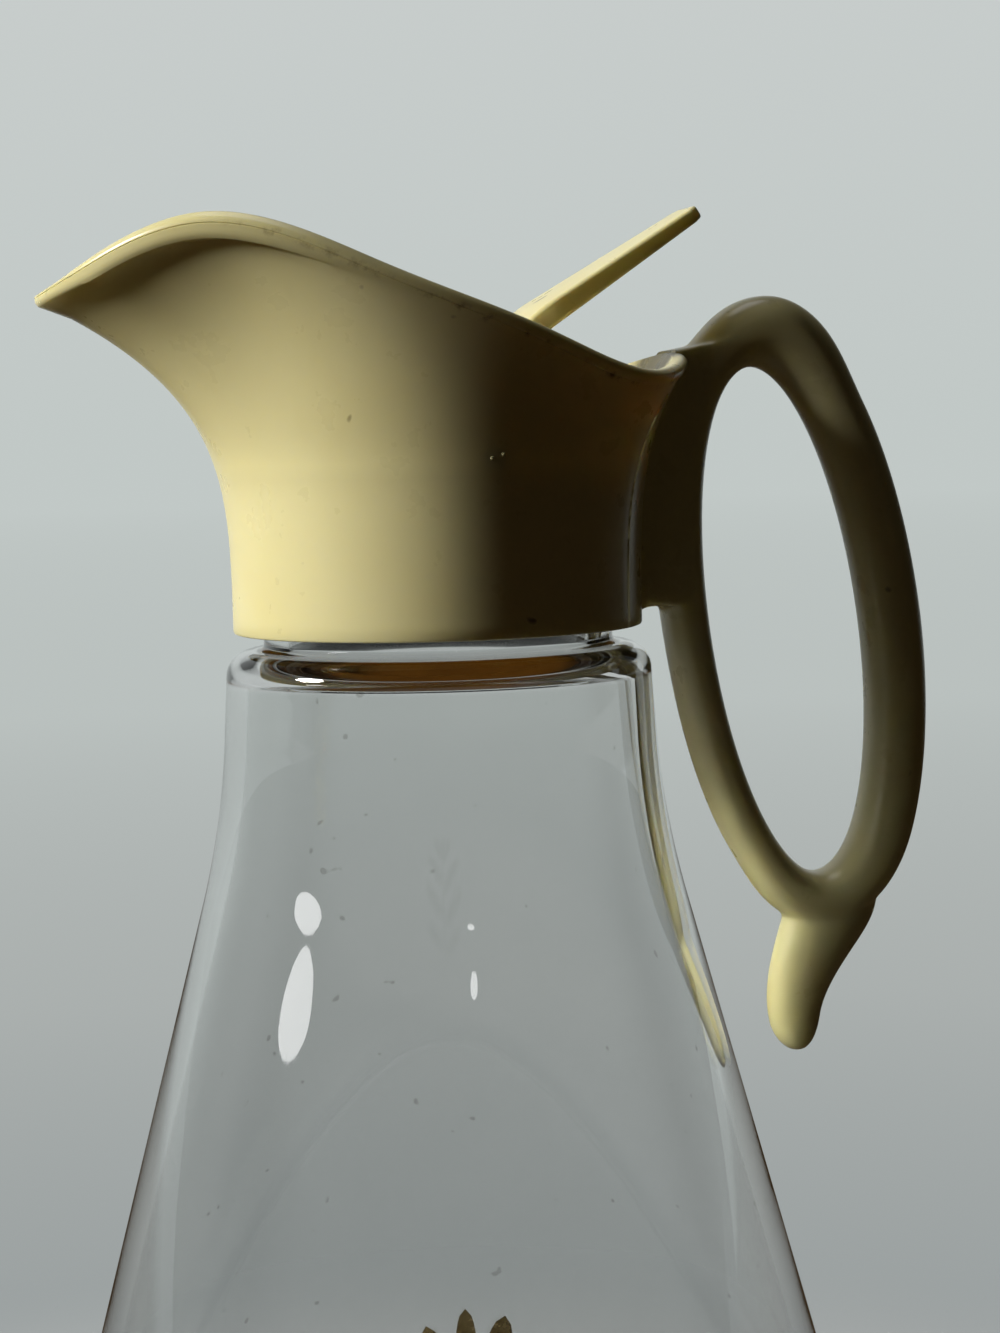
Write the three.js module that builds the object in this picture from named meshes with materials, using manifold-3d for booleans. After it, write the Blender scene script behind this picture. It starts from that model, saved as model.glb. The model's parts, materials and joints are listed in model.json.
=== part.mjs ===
// Syrup pitcher: a cone-shaped glass jar, a screw-on pouring head with a loop handle,
// and a thumb-lifted pouring lid. Millimetres, +Z up. The origin is the centre of the
// jar's flat underside, the spout points to -X and the handle to +X.
import * as THREE from 'three';
import { mergeVertices } from 'three/addons/utils/BufferGeometryUtils.js';
import Module from 'manifold-3d';

const wasm = await Module();
wasm.setup();

// Clearances
const seatGap = 0.3; // between pieces that seat on each other
const plugGap = 0.8; // between the lid's plug and the pouring hole
const sweepGap = 1.4; // between the flap's edge and the head's inner wall
const threadGap = 0.5; // between the crest of the jar's thread and the collar's wall
const headThreadGap = 0.6; // between the crest of the head's thread and the jar's neck
const threadFlankGap = 0.2; // between the two threads' sides

// Glass jar, heights measured from its underside
const collarBottom = 136; // height of the collar's bottom edge
const jarWall = 2.8;
const jarBaseThickness = 6;
const jarHeelRadius = 9;
const jarInnerHeelRadius = 6;
const jarConeAngle = 15.03; // degrees from upright
const shoulderAngle = 3.4; // degrees from upright
const shoulderOverhang = 1.1; // shoulder wider than the collar
const shoulderDrop = 5.6; // collar's bottom edge down to the widest line of the shoulder
const shoulderRound = 3.4;
const waistDrop = 24.2; // collar's bottom edge down to where shoulder and cone meet
const waistBlend = 10.7; // height of the curve on each side of the waist
const neckWall = 3;
const neckHeight = 15; // above the collar's bottom edge
const neckRound = 1;
const innerShoulderDrop = 6.8; // depth at which the inside reaches its full width

// Screw thread, right-handed
const threadPitch = 4.4;
const threadRootWidth = 2;
const threadCrestWidth = 1.1;
const threadTaper = 0.08; // turns over which a thread runs out at each end
const jarThreadDepth = 1.3;
const jarThreadStart = 5; // above the collar's bottom edge
const jarThreadTurns = 1.25;
const headThreadTurns = 1.1;
const headThreadLead = 0.22; // turns by which the head's thread starts before the jar's
const threadBite = 0.5; // how deep a thread's root is sunk into its wall

// Sealing ring
const ringThickness = 1.4;
const ringInset = 0.2; // ring narrower than the jar's neck

// Pouring head. The rim's points are on the middle of its rounded edge, and their
// heights are above the collar's bottom edge.
const collarRadius = 26;
const headWall = 2;
const deckThickness = 2;
const flarePower = 3.7;
const spoutReach = 48.2;
const spoutTipHeight = 42.6;
const lipReach = 45;
const lipHalfWidth = 9.4;
const lipHeight = 45.3;
const humpReach = 31.1;
const humpHalfWidth = 21;
const humpHeight = 50.5;
const flankReach = 10.9;
const flankHalfWidth = 26.9;
const flankHeight = 43.9;
const sideSetback = 6.4;
const sideHalfWidth = 27.1;
const sideHeight = 36.7;
const saddleSetback = 15.7;
const saddleHalfWidth = 25;
const saddleHeight = 32.6;
const dipSetback = 23.4;
const dipHalfWidth = 20.8;
const dipHeight = 31;
const rearReach = 32.5;
const rearHeight = 34.1;
// Directions on the collar, in degrees from the spout, that the rim's points rise from
const lipTurn = 19;
const humpTurn = 43;
const flankTurn = 77;
const sideTurn = 106;
const saddleTurn = 122;
const dipTurn = 142;

// Pouring hole, lid and hinge
const hingeSetback = 2; // hinge axis behind the jar's axis
const hingePinRadius = 0.9;
const hubRadius = 2.3;
const hubLength = 36;
const pourHoleRadius = 15;
const pourHoleSetback = 4.2; // hinge axis to the hole's straight edge
const flapThickness = 3;
const plugDepth = 1.6;
const leverBendReach = 12.8; // from the hinge axis
const leverBendRise = 18.1;
const leverTipReach = 32.7;
const leverTipRise = 30.5;
const leverRootAngle = 68; // degrees above level where the lever leaves the hub
const leverRootWidth = 14;
const leverBendWidth = 16;
const leverTipWidth = 8;
const leverThickness = 2.9;
const leverTipThickness = 1.6;
const leverTipRound = 1.6;

// Handle
const fingerHoleSetback = 20.4; // collar's wall to the finger hole's centre
const fingerHoleRise = -1.1; // centre above the collar's bottom edge
const fingerHoleHalfWidth = 10.65;
const fingerHoleHalfHeight = 33.6;
const fingerHoleTilt = 7.8; // degrees, lower end leaning away from the jar
const handleDepth = 9.6; // across the handle, along Y
const outerArmWidth = 7.7;
const crownWidth = 9.6;
const rootWidth = 6.8;
const innerArmWidth = 5.4;
const heelWidth = 6.8;
const lowerArmWidth = 7.3;
const blockRise = 1.8; // collar's bottom edge up to the underside of the handle's block
const blockBevel = 1.4;
const tailDrop = 20.4; // loop's middle line down to the tail's tip
const tailLead = 3; // run in which the tail still points straight out of the loop
const tailCurl = 8.6; // pull of the tail's curve towards the jar
const tailCurlDrop = 12.6; // depth under the root at which it is pulled
const tailTipSetback = 3.9; // tip nearer to the jar than the tail's root
const tailWidth = 13;
const tailDepth = 8.6;
const tailEndWidth = 5.4;
const tailEndDepth = 6.2;

// Facets
const jarSegments = 48;
const ringSegments = 48;
const rimSteps = 5; // steps between two of the rim's points
const threadSteps = 32; // steps in one turn
const handleSteps = 52;
const sectionSides = 12;
const outsideSteps = 11; // rings of the head's wall, outside and inside
const insideSteps = 8;

// Worked-out places
const headMidRadius = collarRadius - headWall / 2;
const threadWallRadius = collarRadius - headWall;
const neckRadius = threadWallRadius - threadGap - jarThreadDepth;
const neckBoreRadius = neckRadius - neckWall;
const headThreadDepth = threadWallRadius - neckRadius - headThreadGap;
const headThreadLag = (threadRootWidth + threadCrestWidth) / 2 + threadFlankGap;
const ringRadius = neckRadius - ringInset;
const shoulderRadius = collarRadius + shoulderOverhang;
const deckUnderside = neckHeight + ringThickness + 2 * seatGap;
const deckTop = deckUnderside + deckThickness;
const hingeHeight = deckTop + seatGap + hubRadius;
const toRadians = THREE.MathUtils.degToRad;

// Plastic, glass, rubber and steel finishes
function plastic() {
  return new THREE.MeshStandardMaterial({ color: 0xe9e0a4, roughness: 0.42, metalness: 0 });
}
const glass = new THREE.MeshStandardMaterial({ color: 0xdfe7e5, roughness: 0.05, metalness: 0 });
const rubber = new THREE.MeshStandardMaterial({ color: 0xd8d0bd, roughness: 0.8, metalness: 0 });
const steel = new THREE.MeshStandardMaterial({ color: 0xb9bbbd, roughness: 0.3, metalness: 1 });

// Closed geometry from a list of vertices and triangles, with its faces pointing out
function closedGeometry(vertices, triangles) {
  const a = new THREE.Vector3();
  let volume = 0;
  for (let i = 0; i < triangles.length; i += 3) {
    const [p, q, r] = triangles.slice(i, i + 3).map((k) => vertices[k]);
    volume += p.dot(a.crossVectors(q, r));
  }
  const facing = volume < 0 ? triangles.slice().reverse() : triangles;
  const geometry = new THREE.BufferGeometry();
  const positions = vertices.flatMap((v) => v.toArray());
  geometry.setAttribute('position', new THREE.Float32BufferAttribute(positions, 3));
  geometry.setIndex(facing);
  return geometry;
}

// Skin over rings of equally many points. The ends are closed by fans to their middles,
// or, where the rings go round, the last ring joins the first.
function skin(rings, goesRound = false) {
  const sides = rings[0].length;
  const vertices = rings.flat();
  const triangles = [];
  const bands = goesRound ? rings.length : rings.length - 1;
  for (let i = 0; i < bands; i++) {
    const low = i * sides;
    const high = ((i + 1) % rings.length) * sides;
    for (let j = 0; j < sides; j++) {
      const next = (j + 1) % sides;
      triangles.push(low + j, low + next, high + next, low + j, high + next, high + j);
    }
  }
  if (!goesRound) {
    for (const [ring, start] of [[rings[0], 0], [rings.at(-1), vertices.length - sides]]) {
      const middle = ring.reduce((sum, p) => sum.add(p), new THREE.Vector3()).divideScalar(sides);
      const hub = vertices.push(middle) - 1;
      for (let j = 0; j < sides; j++) {
        const edge = [start + j, start + ((j + 1) % sides)];
        triangles.push(hub, ...(start === 0 ? edge.reverse() : edge));
      }
    }
  }
  return closedGeometry(vertices, triangles);
}

// Solid for joining and cutting, with shared vertices merged and slivers left out
function solidOf(geometry) {
  const bare = geometry.clone();
  bare.deleteAttribute('normal');
  bare.deleteAttribute('uv');
  const welded = mergeVertices(bare, 1e-4);
  const index = welded.index.array;
  const triangles = [];
  for (let i = 0; i < index.length; i += 3) {
    const [a, b, c] = [index[i], index[i + 1], index[i + 2]];
    if (a !== b && b !== c && c !== a) triangles.push(a, b, c);
  }
  const vertProperties = new Float32Array(welded.attributes.position.array);
  const triVerts = new Uint32Array(triangles);
  return new wasm.Manifold(new wasm.Mesh({ numProp: 3, vertProperties, triVerts }));
}

function geometryOf(solid) {
  const mesh = solid.getMesh();
  const geometry = new THREE.BufferGeometry();
  geometry.setAttribute('position', new THREE.Float32BufferAttribute(mesh.vertProperties, 3));
  geometry.setIndex(Array.from(mesh.triVerts));
  return geometry;
}

// Body of revolution about Z from a path of radius and height
function turned(path, segments, divisions) {
  return new THREE.LatheGeometry(path.getPoints(divisions), segments).rotateX(Math.PI / 2);
}

// Plate of an outline in X and Y, from one height up to another
function plate(shape, low, high) {
  const settings = { depth: high - low, bevelEnabled: false, curveSegments: 28 };
  return new THREE.ExtrudeGeometry(shape, settings).translate(0, 0, low);
}

// Rod along Y, through a point in X and Z
function crossRod(radius, length, x, z, sides = 20) {
  return new THREE.CylinderGeometry(radius, radius, length, sides).translate(x, 0, z);
}

// Screw ridge on a wall. A positive depth stands out of the wall and a negative one into it.
function threadRidge(wallRadius, depth, start, lead, turns) {
  const count = Math.round(turns * threadSteps);
  const side = Math.sign(depth);
  const rings = [];
  for (let i = 0; i <= count; i++) {
    const turn = (i / count) * turns;
    const fade = Math.min(1, turn / threadTaper, (turns - turn) / threadTaper);
    const crest = wallRadius + depth * fade - side * threadBite * 0.5 * (1 - fade);
    const root = wallRadius - side * threadBite;
    const angle = (turn - lead) * 2 * Math.PI;
    const middle = start + (turn - lead) * threadPitch;
    const at = (radius, rise) =>
      new THREE.Vector3(radius * Math.cos(angle), radius * Math.sin(angle), middle + rise);
    rings.push([
      at(root, -threadRootWidth / 2),
      at(crest, -threadCrestWidth / 2),
      at(crest, threadCrestWidth / 2),
      at(root, threadRootWidth / 2),
    ]);
  }
  return skin(rings);
}

// Glass jar with its screw thread, in heights from the collar's bottom edge
function glassJar() {
  const cone = Math.tan(toRadians(jarConeAngle));
  const lean = Math.tan(toRadians(shoulderAngle));
  const shoulderAt = (z) => shoulderRadius + (-shoulderDrop - z) * lean;
  const waistRadius = shoulderAt(-waistDrop);
  const coneAt = (z) => waistRadius + (-waistDrop - z) * cone;
  const blendTop = -waistDrop + waistBlend;
  const blendBottom = -waistDrop - waistBlend;
  const underside = -collarBottom;
  const floor = underside + jarBaseThickness;

  // centre of a heel round that touches a level at the given height and the cone inside a wall
  const heelCentre = (level, round, wall) => coneAt(level + round) - wall - round * Math.hypot(1, cone);
  const heelEnd = Math.atan(cone);
  const outerHeel = heelCentre(underside, jarHeelRadius, 0);
  const innerHeel = heelCentre(floor, jarInnerHeelRadius, jarWall);

  const profile = new THREE.Path();
  profile.moveTo(0, underside);
  profile.lineTo(outerHeel, underside);
  profile.absarc(outerHeel, underside + jarHeelRadius, jarHeelRadius, -Math.PI / 2, heelEnd, false);
  profile.lineTo(coneAt(blendBottom), blendBottom);
  profile.quadraticCurveTo(waistRadius, -waistDrop, shoulderAt(blendTop), blendTop);
  profile.absarc(shoulderRadius - shoulderRound, -shoulderDrop, shoulderRound, 0, Math.PI / 2, false);
  const shoulderTop = shoulderRound - shoulderDrop;
  profile.lineTo(neckRadius + neckRound, shoulderTop);
  profile.quadraticCurveTo(neckRadius, shoulderTop, neckRadius, shoulderTop + neckRound);
  profile.lineTo(neckRadius, neckHeight - neckRound);
  profile.quadraticCurveTo(neckRadius, neckHeight, neckRadius - neckRound, neckHeight);
  profile.lineTo(neckBoreRadius, neckHeight);
  profile.lineTo(neckBoreRadius, shoulderTop);
  const innerTop = shoulderAt(-innerShoulderDrop) - jarWall;
  profile.bezierCurveTo(
    neckBoreRadius, (shoulderTop - innerShoulderDrop) * 0.6,
    innerTop, (shoulderTop - innerShoulderDrop) * 0.4,
    innerTop, -innerShoulderDrop,
  );
  profile.lineTo(shoulderAt(blendTop) - jarWall, blendTop);
  profile.quadraticCurveTo(waistRadius - jarWall, -waistDrop, coneAt(blendBottom) - jarWall, blendBottom);
  profile.absarc(innerHeel, floor + jarInnerHeelRadius, jarInnerHeelRadius, heelEnd, -Math.PI / 2, true);
  profile.lineTo(0, floor);

  const ridge = threadRidge(neckRadius, jarThreadDepth, jarThreadStart, 0, jarThreadTurns);
  return geometryOf(solidOf(turned(profile, jarSegments, 3)).add(solidOf(ridge)));
}

// Flat ring between the jar's rim and the deck inside the head
function sealingRing() {
  const low = neckHeight + seatGap;
  const section = new THREE.Path();
  section.moveTo(neckBoreRadius, low);
  section.lineTo(ringRadius, low);
  section.lineTo(ringRadius, low + ringThickness);
  section.lineTo(neckBoreRadius, low + ringThickness);
  section.lineTo(neckBoreRadius, low);
  return turned(section, ringSegments, 1);
}

// The head's rim, and the directions on the collar that its points rise from
const rimHalf = [
  [-spoutReach, 0, spoutTipHeight, 0],
  [-lipReach, lipHalfWidth, lipHeight, lipTurn],
  [-humpReach, humpHalfWidth, humpHeight, humpTurn],
  [-flankReach, flankHalfWidth, flankHeight, flankTurn],
  [sideSetback, sideHalfWidth, sideHeight, sideTurn],
  [saddleSetback, saddleHalfWidth, saddleHeight, saddleTurn],
  [dipSetback, dipHalfWidth, dipHeight, dipTurn],
  [rearReach, 0, rearHeight, 180],
];
const rimMirrored = rimHalf.slice(1, -1).reverse().map(([x, y, z, turn]) => [x, -y, z, -turn]);
const rimStations = [...rimHalf, ...rimMirrored];
const rimCurve = new THREE.CatmullRomCurve3(
  rimStations.map(([x, y, z]) => new THREE.Vector3(x, y, z)), true, 'centripetal');
const collarDirections = rimStations.map(([, , , turn]) => {
  const angle = toRadians(turn);
  return new THREE.Vector3(-Math.cos(angle), Math.sin(angle), 0);
});
const collarCurve = new THREE.CatmullRomCurve3(collarDirections, true, 'centripetal');
const rimCount = rimStations.length * rimSteps;

// Middle of the head's wall: around is 0 to 1 round the rim, rise is 0 at the collar's
// bottom edge and 1 at the rim. The wall is upright at the bottom and flares to the rim.
function wallMiddle(around, rise) {
  const turn = ((around % 1) + 1) % 1;
  const top = rimCurve.getPoint(turn);
  const foot = collarCurve.getPoint(turn).setLength(headMidRadius);
  const middle = foot.lerp(new THREE.Vector3(top.x, top.y, 0), Math.max(rise, 0) ** flarePower);
  middle.z = top.z * rise;
  return middle;
}

// The wall's middle, its outward direction and its upward direction at one place
function wallFrame(around, rise) {
  const step = 1e-3;
  const along = wallMiddle(around + step, rise).sub(wallMiddle(around - step, rise));
  const up = wallMiddle(around, rise + step).sub(wallMiddle(around, rise - step)).normalize();
  const out = new THREE.Vector3().crossVectors(up, along).normalize();
  return { middle: wallMiddle(around, rise), out, up };
}

// Rings of the wall's outside from the rim down to the bottom edge, set out by a half thickness
function outsideRings(halfWall) {
  const crowding = 1.2; // rings lie closer together towards the rim
  const rings = [];
  for (let k = 0; k <= outsideSteps; k++) {
    const rise = 1 - (k / outsideSteps) ** crowding;
    rings.push(wallRing((frame) => frame.middle.addScaledVector(frame.out, halfWall), () => rise));
  }
  return rings;
}

// Rings round the rim's edge, from inside to outside
function rimRings(halfWall) {
  return [-60, -20, 20, 60].map((degrees) => {
    const angle = toRadians(degrees);
    return wallRing((frame) => frame.middle
      .addScaledVector(frame.out, halfWall * Math.sin(angle))
      .addScaledVector(frame.up, halfWall * Math.cos(angle)), () => 1);
  });
}

function wallRing(place, riseAt) {
  const ring = [];
  for (let i = 0; i < rimCount; i++) {
    const around = i / rimCount;
    ring.push(place(wallFrame(around, riseAt(around))));
  }
  return ring;
}

// Level circle of as many points as the rim has, under the same directions
function collarRing(radius, height) {
  return wallRing((frame) => frame.middle.setZ(0).setLength(radius).setZ(height), () => 0);
}

// Outline of the half-round pouring hole, or of the plug that enters it
function pourHoleShape(gap) {
  const radius = pourHoleRadius - gap;
  const edgeTurn = Math.acos(-gap / radius);
  const shape = new THREE.Shape();
  shape.absarc(hingeSetback - pourHoleSetback, 0, radius, edgeTurn, 2 * Math.PI - edgeTurn, false);
  return shape;
}

// Pouring head: threaded collar, deck with the pouring hole, and the flared spout
function pouringHead() {
  const halfWall = headWall / 2;
  const crowding = 0.85;
  const rings = [];
  for (let k = 0; k <= insideSteps; k++) {
    const riseAt = (around) => {
      const deckRise = deckTop / rimCurve.getPoint(around).z;
      return THREE.MathUtils.lerp(deckRise, 1, (k / insideSteps) ** crowding);
    };
    const ring = wallRing((frame) => frame.middle.addScaledVector(frame.out, -halfWall), riseAt);
    if (k === 0) ring.forEach((p) => p.setZ(deckTop));
    rings.push(ring);
  }
  rings.push(...rimRings(halfWall), ...outsideRings(halfWall));
  rings.push(collarRing(threadWallRadius, 0), collarRing(threadWallRadius, deckUnderside));

  const shell = solidOf(skin(rings));
  const start = jarThreadStart - headThreadLag;
  const ridge = threadRidge(threadWallRadius, -headThreadDepth, start, headThreadLead, headThreadTurns);
  const hole = plate(pourHoleShape(0), deckUnderside - seatGap, deckTop + seatGap);
  const pinHole = crossRod(hingePinRadius + seatGap, 3 * collarRadius, hingeSetback, hingeHeight);
  return geometryOf(shell.add(solidOf(ridge)).subtract(solidOf(hole)).subtract(solidOf(pinHole)));
}

// Everything inside the head's outside surface, set out by a gap, to cut the handle's seat
function headEnvelope(gap) {
  const rings = [...rimRings(headWall / 2 + gap), ...outsideRings(headWall / 2 + gap)];
  rings.push(collarRing(collarRadius + gap, -collarRadius));
  return solidOf(skin(rings));
}

// Handle: a loop round the finger hole, a block that carries it on the collar, and a tail.
// A place on the loop is a turn in degrees from the outer arm, counted over the crown.
const loopWidths = [
  [0, outerArmWidth], [46, outerArmWidth], [80, crownWidth], [104, rootWidth],
  [190, innerArmWidth], [232, innerArmWidth], [266, heelWidth], [305, lowerArmWidth], [360, outerArmWidth],
];

function loopFrame(degrees) {
  const turn = toRadians(degrees);
  const tilt = toRadians(fingerHoleTilt);
  const inPlane = (x, z) =>
    new THREE.Vector3(x * Math.cos(tilt) - z * Math.sin(tilt), 0, x * Math.sin(tilt) + z * Math.cos(tilt));
  const centre = new THREE.Vector3(collarRadius + fingerHoleSetback, 0, fingerHoleRise);
  const c = Math.cos(turn);
  const s = Math.sin(turn);
  const edge = inPlane(fingerHoleHalfWidth * c, fingerHoleHalfHeight * s).add(centre);
  const out = inPlane(c / fingerHoleHalfWidth, s / fingerHoleHalfHeight).normalize();
  const after = loopWidths.findIndex(([angle]) => angle > degrees);
  const [angle0, width0] = loopWidths[after - 1];
  const [angle1, width1] = loopWidths[after];
  const width = THREE.MathUtils.lerp(width0, width1, THREE.MathUtils.smoothstep(degrees, angle0, angle1));
  return { middle: edge.addScaledVector(out, width / 2), out, width };
}

// Oval ring about a middle, across the handle and along a direction in its plane
function ovalRing(middle, out, width, depth) {
  const ring = [];
  for (let j = 0; j < sectionSides; j++) {
    const angle = (j / sectionSides) * 2 * Math.PI;
    const across = new THREE.Vector3(0, (depth / 2) * Math.sin(angle), 0);
    ring.push(across.addScaledVector(out, (width / 2) * Math.cos(angle)).add(middle));
  }
  return ring;
}

function handleLoop() {
  const rings = [];
  for (let i = 0; i < handleSteps; i++) {
    const { middle, out, width } = loopFrame((i / handleSteps) * 360);
    rings.push(ovalRing(middle, out, width, handleDepth));
  }
  return skin(rings, true);
}

// Block between the collar and the loop's upper inner arm
function handleBlock() {
  const inside = collarRadius / 2;
  const outline = [new THREE.Vector2(inside, blockRise)];
  const footTurn = 176;
  const crownTurn = 92;
  for (let turn = footTurn; turn >= crownTurn; turn -= 12) {
    const { middle } = loopFrame(turn);
    outline.push(new THREE.Vector2(middle.x, Math.max(middle.z, blockRise)));
  }
  outline.push(new THREE.Vector2(inside, rearHeight - headWall));
  const settings = {
    depth: handleDepth - 2 * blockBevel,
    bevelThickness: blockBevel,
    bevelSize: blockBevel,
    bevelOffset: -blockBevel,
    bevelSegments: 3,
  };
  return new THREE.ExtrudeGeometry(new THREE.Shape(outline), settings)
    .rotateX(Math.PI / 2)
    .translate(0, handleDepth / 2 - blockBevel, 0);
}

// Tail that curls down under the loop and back towards the jar
function handleTail() {
  const rootTurn = 272;
  const { middle, out: leave } = loopFrame(rootTurn);
  const path = new THREE.CubicBezierCurve3(
    middle,
    middle.clone().addScaledVector(leave, tailLead),
    middle.clone().add(new THREE.Vector3(-tailCurl, 0, -tailCurlDrop)),
    middle.clone().add(new THREE.Vector3(-tailTipSetback, 0, -tailDrop)),
  );
  const steps = 10;
  const roundStart = 0.8;
  const roundRun = 0.22;
  const rings = [];
  for (let i = 0; i <= steps; i++) {
    const along = i / steps;
    const tangent = path.getTangent(along);
    const out = new THREE.Vector3(-tangent.z, 0, tangent.x);
    const round = Math.sqrt(1 - THREE.MathUtils.clamp((along - roundStart) / roundRun, 0, 1) ** 2);
    const width = THREE.MathUtils.lerp(tailWidth, tailEndWidth, along) * round;
    const depth = THREE.MathUtils.lerp(tailDepth, tailEndDepth, along) * round;
    rings.push(ovalRing(path.getPoint(along), out, width, depth));
  }
  return skin(rings);
}

function handle() {
  const raw = solidOf(handleLoop()).add(solidOf(handleBlock())).add(solidOf(handleTail()));
  return geometryOf(raw.subtract(headEnvelope(seatGap)));
}

// Thumb lever: a tapered tab that leaves the hub steeply and bends towards the handle
function thumbLever() {
  const hinge = new THREE.Vector3(hingeSetback, 0, hingeHeight);
  const bend = hinge.clone().add(new THREE.Vector3(leverBendReach, 0, leverBendRise));
  const tip = hinge.clone().add(new THREE.Vector3(leverTipReach, 0, leverTipRise));
  const upper = tip.clone().sub(bend);
  const slope = upper.z / upper.x;
  const rootSlope = Math.tan(toRadians(leverRootAngle));
  const knee = (leverBendRise - slope * leverBendReach) / (rootSlope - slope);
  const control = hinge.clone().add(new THREE.Vector3(knee, 0, knee * rootSlope));
  const leg = new THREE.QuadraticBezierCurve3(hinge, control, bend);

  const rings = [];
  const section = (middle, tangent, width, thickness) => {
    const over = new THREE.Vector3(-tangent.z, 0, tangent.x).multiplyScalar(thickness / 2);
    const half = new THREE.Vector3(0, width / 2, 0);
    rings.push([
      middle.clone().add(over).add(half),
      middle.clone().add(over).sub(half),
      middle.clone().sub(over).sub(half),
      middle.clone().sub(over).add(half),
    ]);
  };
  const legSteps = 6;
  for (let i = 0; i < legSteps; i++) {
    const along = i / legSteps;
    const width = THREE.MathUtils.lerp(leverRootWidth, leverBendWidth, along);
    section(leg.getPoint(along), leg.getTangent(along), width, leverThickness);
  }
  const direction = upper.clone().normalize();
  const inset = tip.clone().addScaledVector(direction, -leverTipRound);
  section(bend, direction, leverBendWidth, leverThickness);
  section(inset, direction, leverTipWidth, leverTipThickness);
  section(tip, direction, leverTipWidth - leverTipRound, leverTipThickness);
  return skin(rings);
}

// Pouring lid: half-round flap with a plug under it, a hub on the hinge pin and the thumb lever
function pourLid() {
  const flapRadius = threadWallRadius - sweepGap;
  const chord = Math.acos(hingeSetback / flapRadius);
  const outline = new THREE.Shape();
  outline.absarc(0, 0, flapRadius, chord, 2 * Math.PI - chord, false);
  const underside = deckTop + seatGap;
  const flap = solidOf(plate(outline, underside, underside + flapThickness));
  const plug = solidOf(plate(pourHoleShape(plugGap), underside - plugDepth, underside + seatGap));
  const hub = solidOf(crossRod(hubRadius, hubLength, hingeSetback, hingeHeight));
  const bore = solidOf(crossRod(hingePinRadius + seatGap, 3 * collarRadius, hingeSetback, hingeHeight));
  const moulding = flap.add(plug).add(hub).add(solidOf(thumbLever()));
  return geometryOf(moulding.subtract(bore));
}

// Wire pin across the head, its ends just under the outside of the wall
function hingePin() {
  const halfLength = Math.sqrt(collarRadius ** 2 - hingeSetback ** 2);
  return crossRod(hingePinRadius, 2 * halfLength, hingeSetback, hingeHeight, 16);
}

const pitcher = new THREE.Group();
const pieces = [
  ['glass_jar', glassJar(), glass],
  ['sealing_ring', sealingRing(), rubber],
  ['pouring_head', pouringHead(), plastic()],
  ['handle', handle(), plastic()],
  ['pour_lid', pourLid(), plastic()],
  ['hinge_pin', hingePin(), steel],
];
for (const [name, geometry, material] of pieces) {
  const mesh = new THREE.Mesh(geometry, material);
  mesh.name = name;
  mesh.position.z = collarBottom;
  pitcher.add(mesh);
}

export default pitcher;
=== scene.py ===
import json
import math

import bmesh
import bpy
import numpy as np
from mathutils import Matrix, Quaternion, Vector, kdtree


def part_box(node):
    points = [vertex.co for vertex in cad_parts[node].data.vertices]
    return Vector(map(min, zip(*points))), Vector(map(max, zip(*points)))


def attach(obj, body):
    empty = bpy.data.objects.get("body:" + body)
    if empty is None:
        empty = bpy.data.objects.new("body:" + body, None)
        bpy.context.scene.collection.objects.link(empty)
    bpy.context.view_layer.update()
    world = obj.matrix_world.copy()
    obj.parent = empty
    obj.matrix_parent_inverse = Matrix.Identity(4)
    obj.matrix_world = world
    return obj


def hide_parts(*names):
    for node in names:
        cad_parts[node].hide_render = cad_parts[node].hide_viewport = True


# Syrup pitcher: glass jar, plastic pouring head with its loop handle, and the lid with its thumb lever.
# Sizes are millimetres, heights count from the collar's bottom edge, spout to -X and handle to +X.
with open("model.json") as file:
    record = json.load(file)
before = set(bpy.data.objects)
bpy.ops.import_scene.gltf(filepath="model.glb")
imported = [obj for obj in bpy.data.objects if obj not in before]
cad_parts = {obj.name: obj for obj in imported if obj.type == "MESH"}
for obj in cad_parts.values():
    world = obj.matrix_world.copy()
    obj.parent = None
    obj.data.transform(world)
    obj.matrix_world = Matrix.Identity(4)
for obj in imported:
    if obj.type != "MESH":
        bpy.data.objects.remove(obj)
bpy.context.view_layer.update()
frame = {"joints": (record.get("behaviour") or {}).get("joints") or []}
mm = 0.001
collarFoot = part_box("pouring_head")[0].z / mm
hinge = Vector(next(j["pos_m"] for j in frame["joints"] if j["name"] == "lid_swing")) / mm
hingeX = hinge.x
hingeZ = hinge.z - collarFoot
print("frame loaded, collar at", round(collarFoot, 1), "mm")


# modelling helpers

def clearSelection():
    if bpy.context.mode != "OBJECT":
        bpy.ops.object.mode_set(mode="OBJECT")
    bpy.ops.object.select_all(action="DESELECT")


def pick(piece):
    clearSelection()
    piece.select_set(True)
    bpy.context.view_layer.objects.active = piece


def finishWith(piece, kind, **settings):
    pick(piece)
    bpy.ops.object.modifier_add(type=kind)
    added = piece.modifiers[-1]
    for name, value in settings.items():
        setattr(added, name, value)
    bpy.ops.object.modifier_apply(modifier=added.name)


def joinOrCut(piece, other, operation):
    finishWith(piece, "BOOLEAN", operation=operation, object=other, solver="EXACT")
    bpy.data.objects.remove(other)


def joinParts(name, parts):
    clearSelection()
    for part in parts:
        part.select_set(True)
    bpy.context.view_layer.objects.active = parts[0]
    bpy.ops.object.join()
    piece = bpy.context.object
    piece.name = piece.data.name = name
    return piece


def faceOutwards():
    # from edit mode back to object mode
    bpy.ops.mesh.select_all(action="SELECT")
    bpy.ops.mesh.normals_make_consistent(inside=False)
    bpy.ops.object.mode_set(mode="OBJECT")


def startTorus(name, steps, sectionPoints):
    clearSelection()
    bpy.ops.mesh.primitive_torus_add(major_segments=steps, minor_segments=sectionPoints,
                                     major_radius=1.0, minor_radius=0.25)
    piece = bpy.context.object
    piece.name = piece.data.name = name
    return piece


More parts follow.
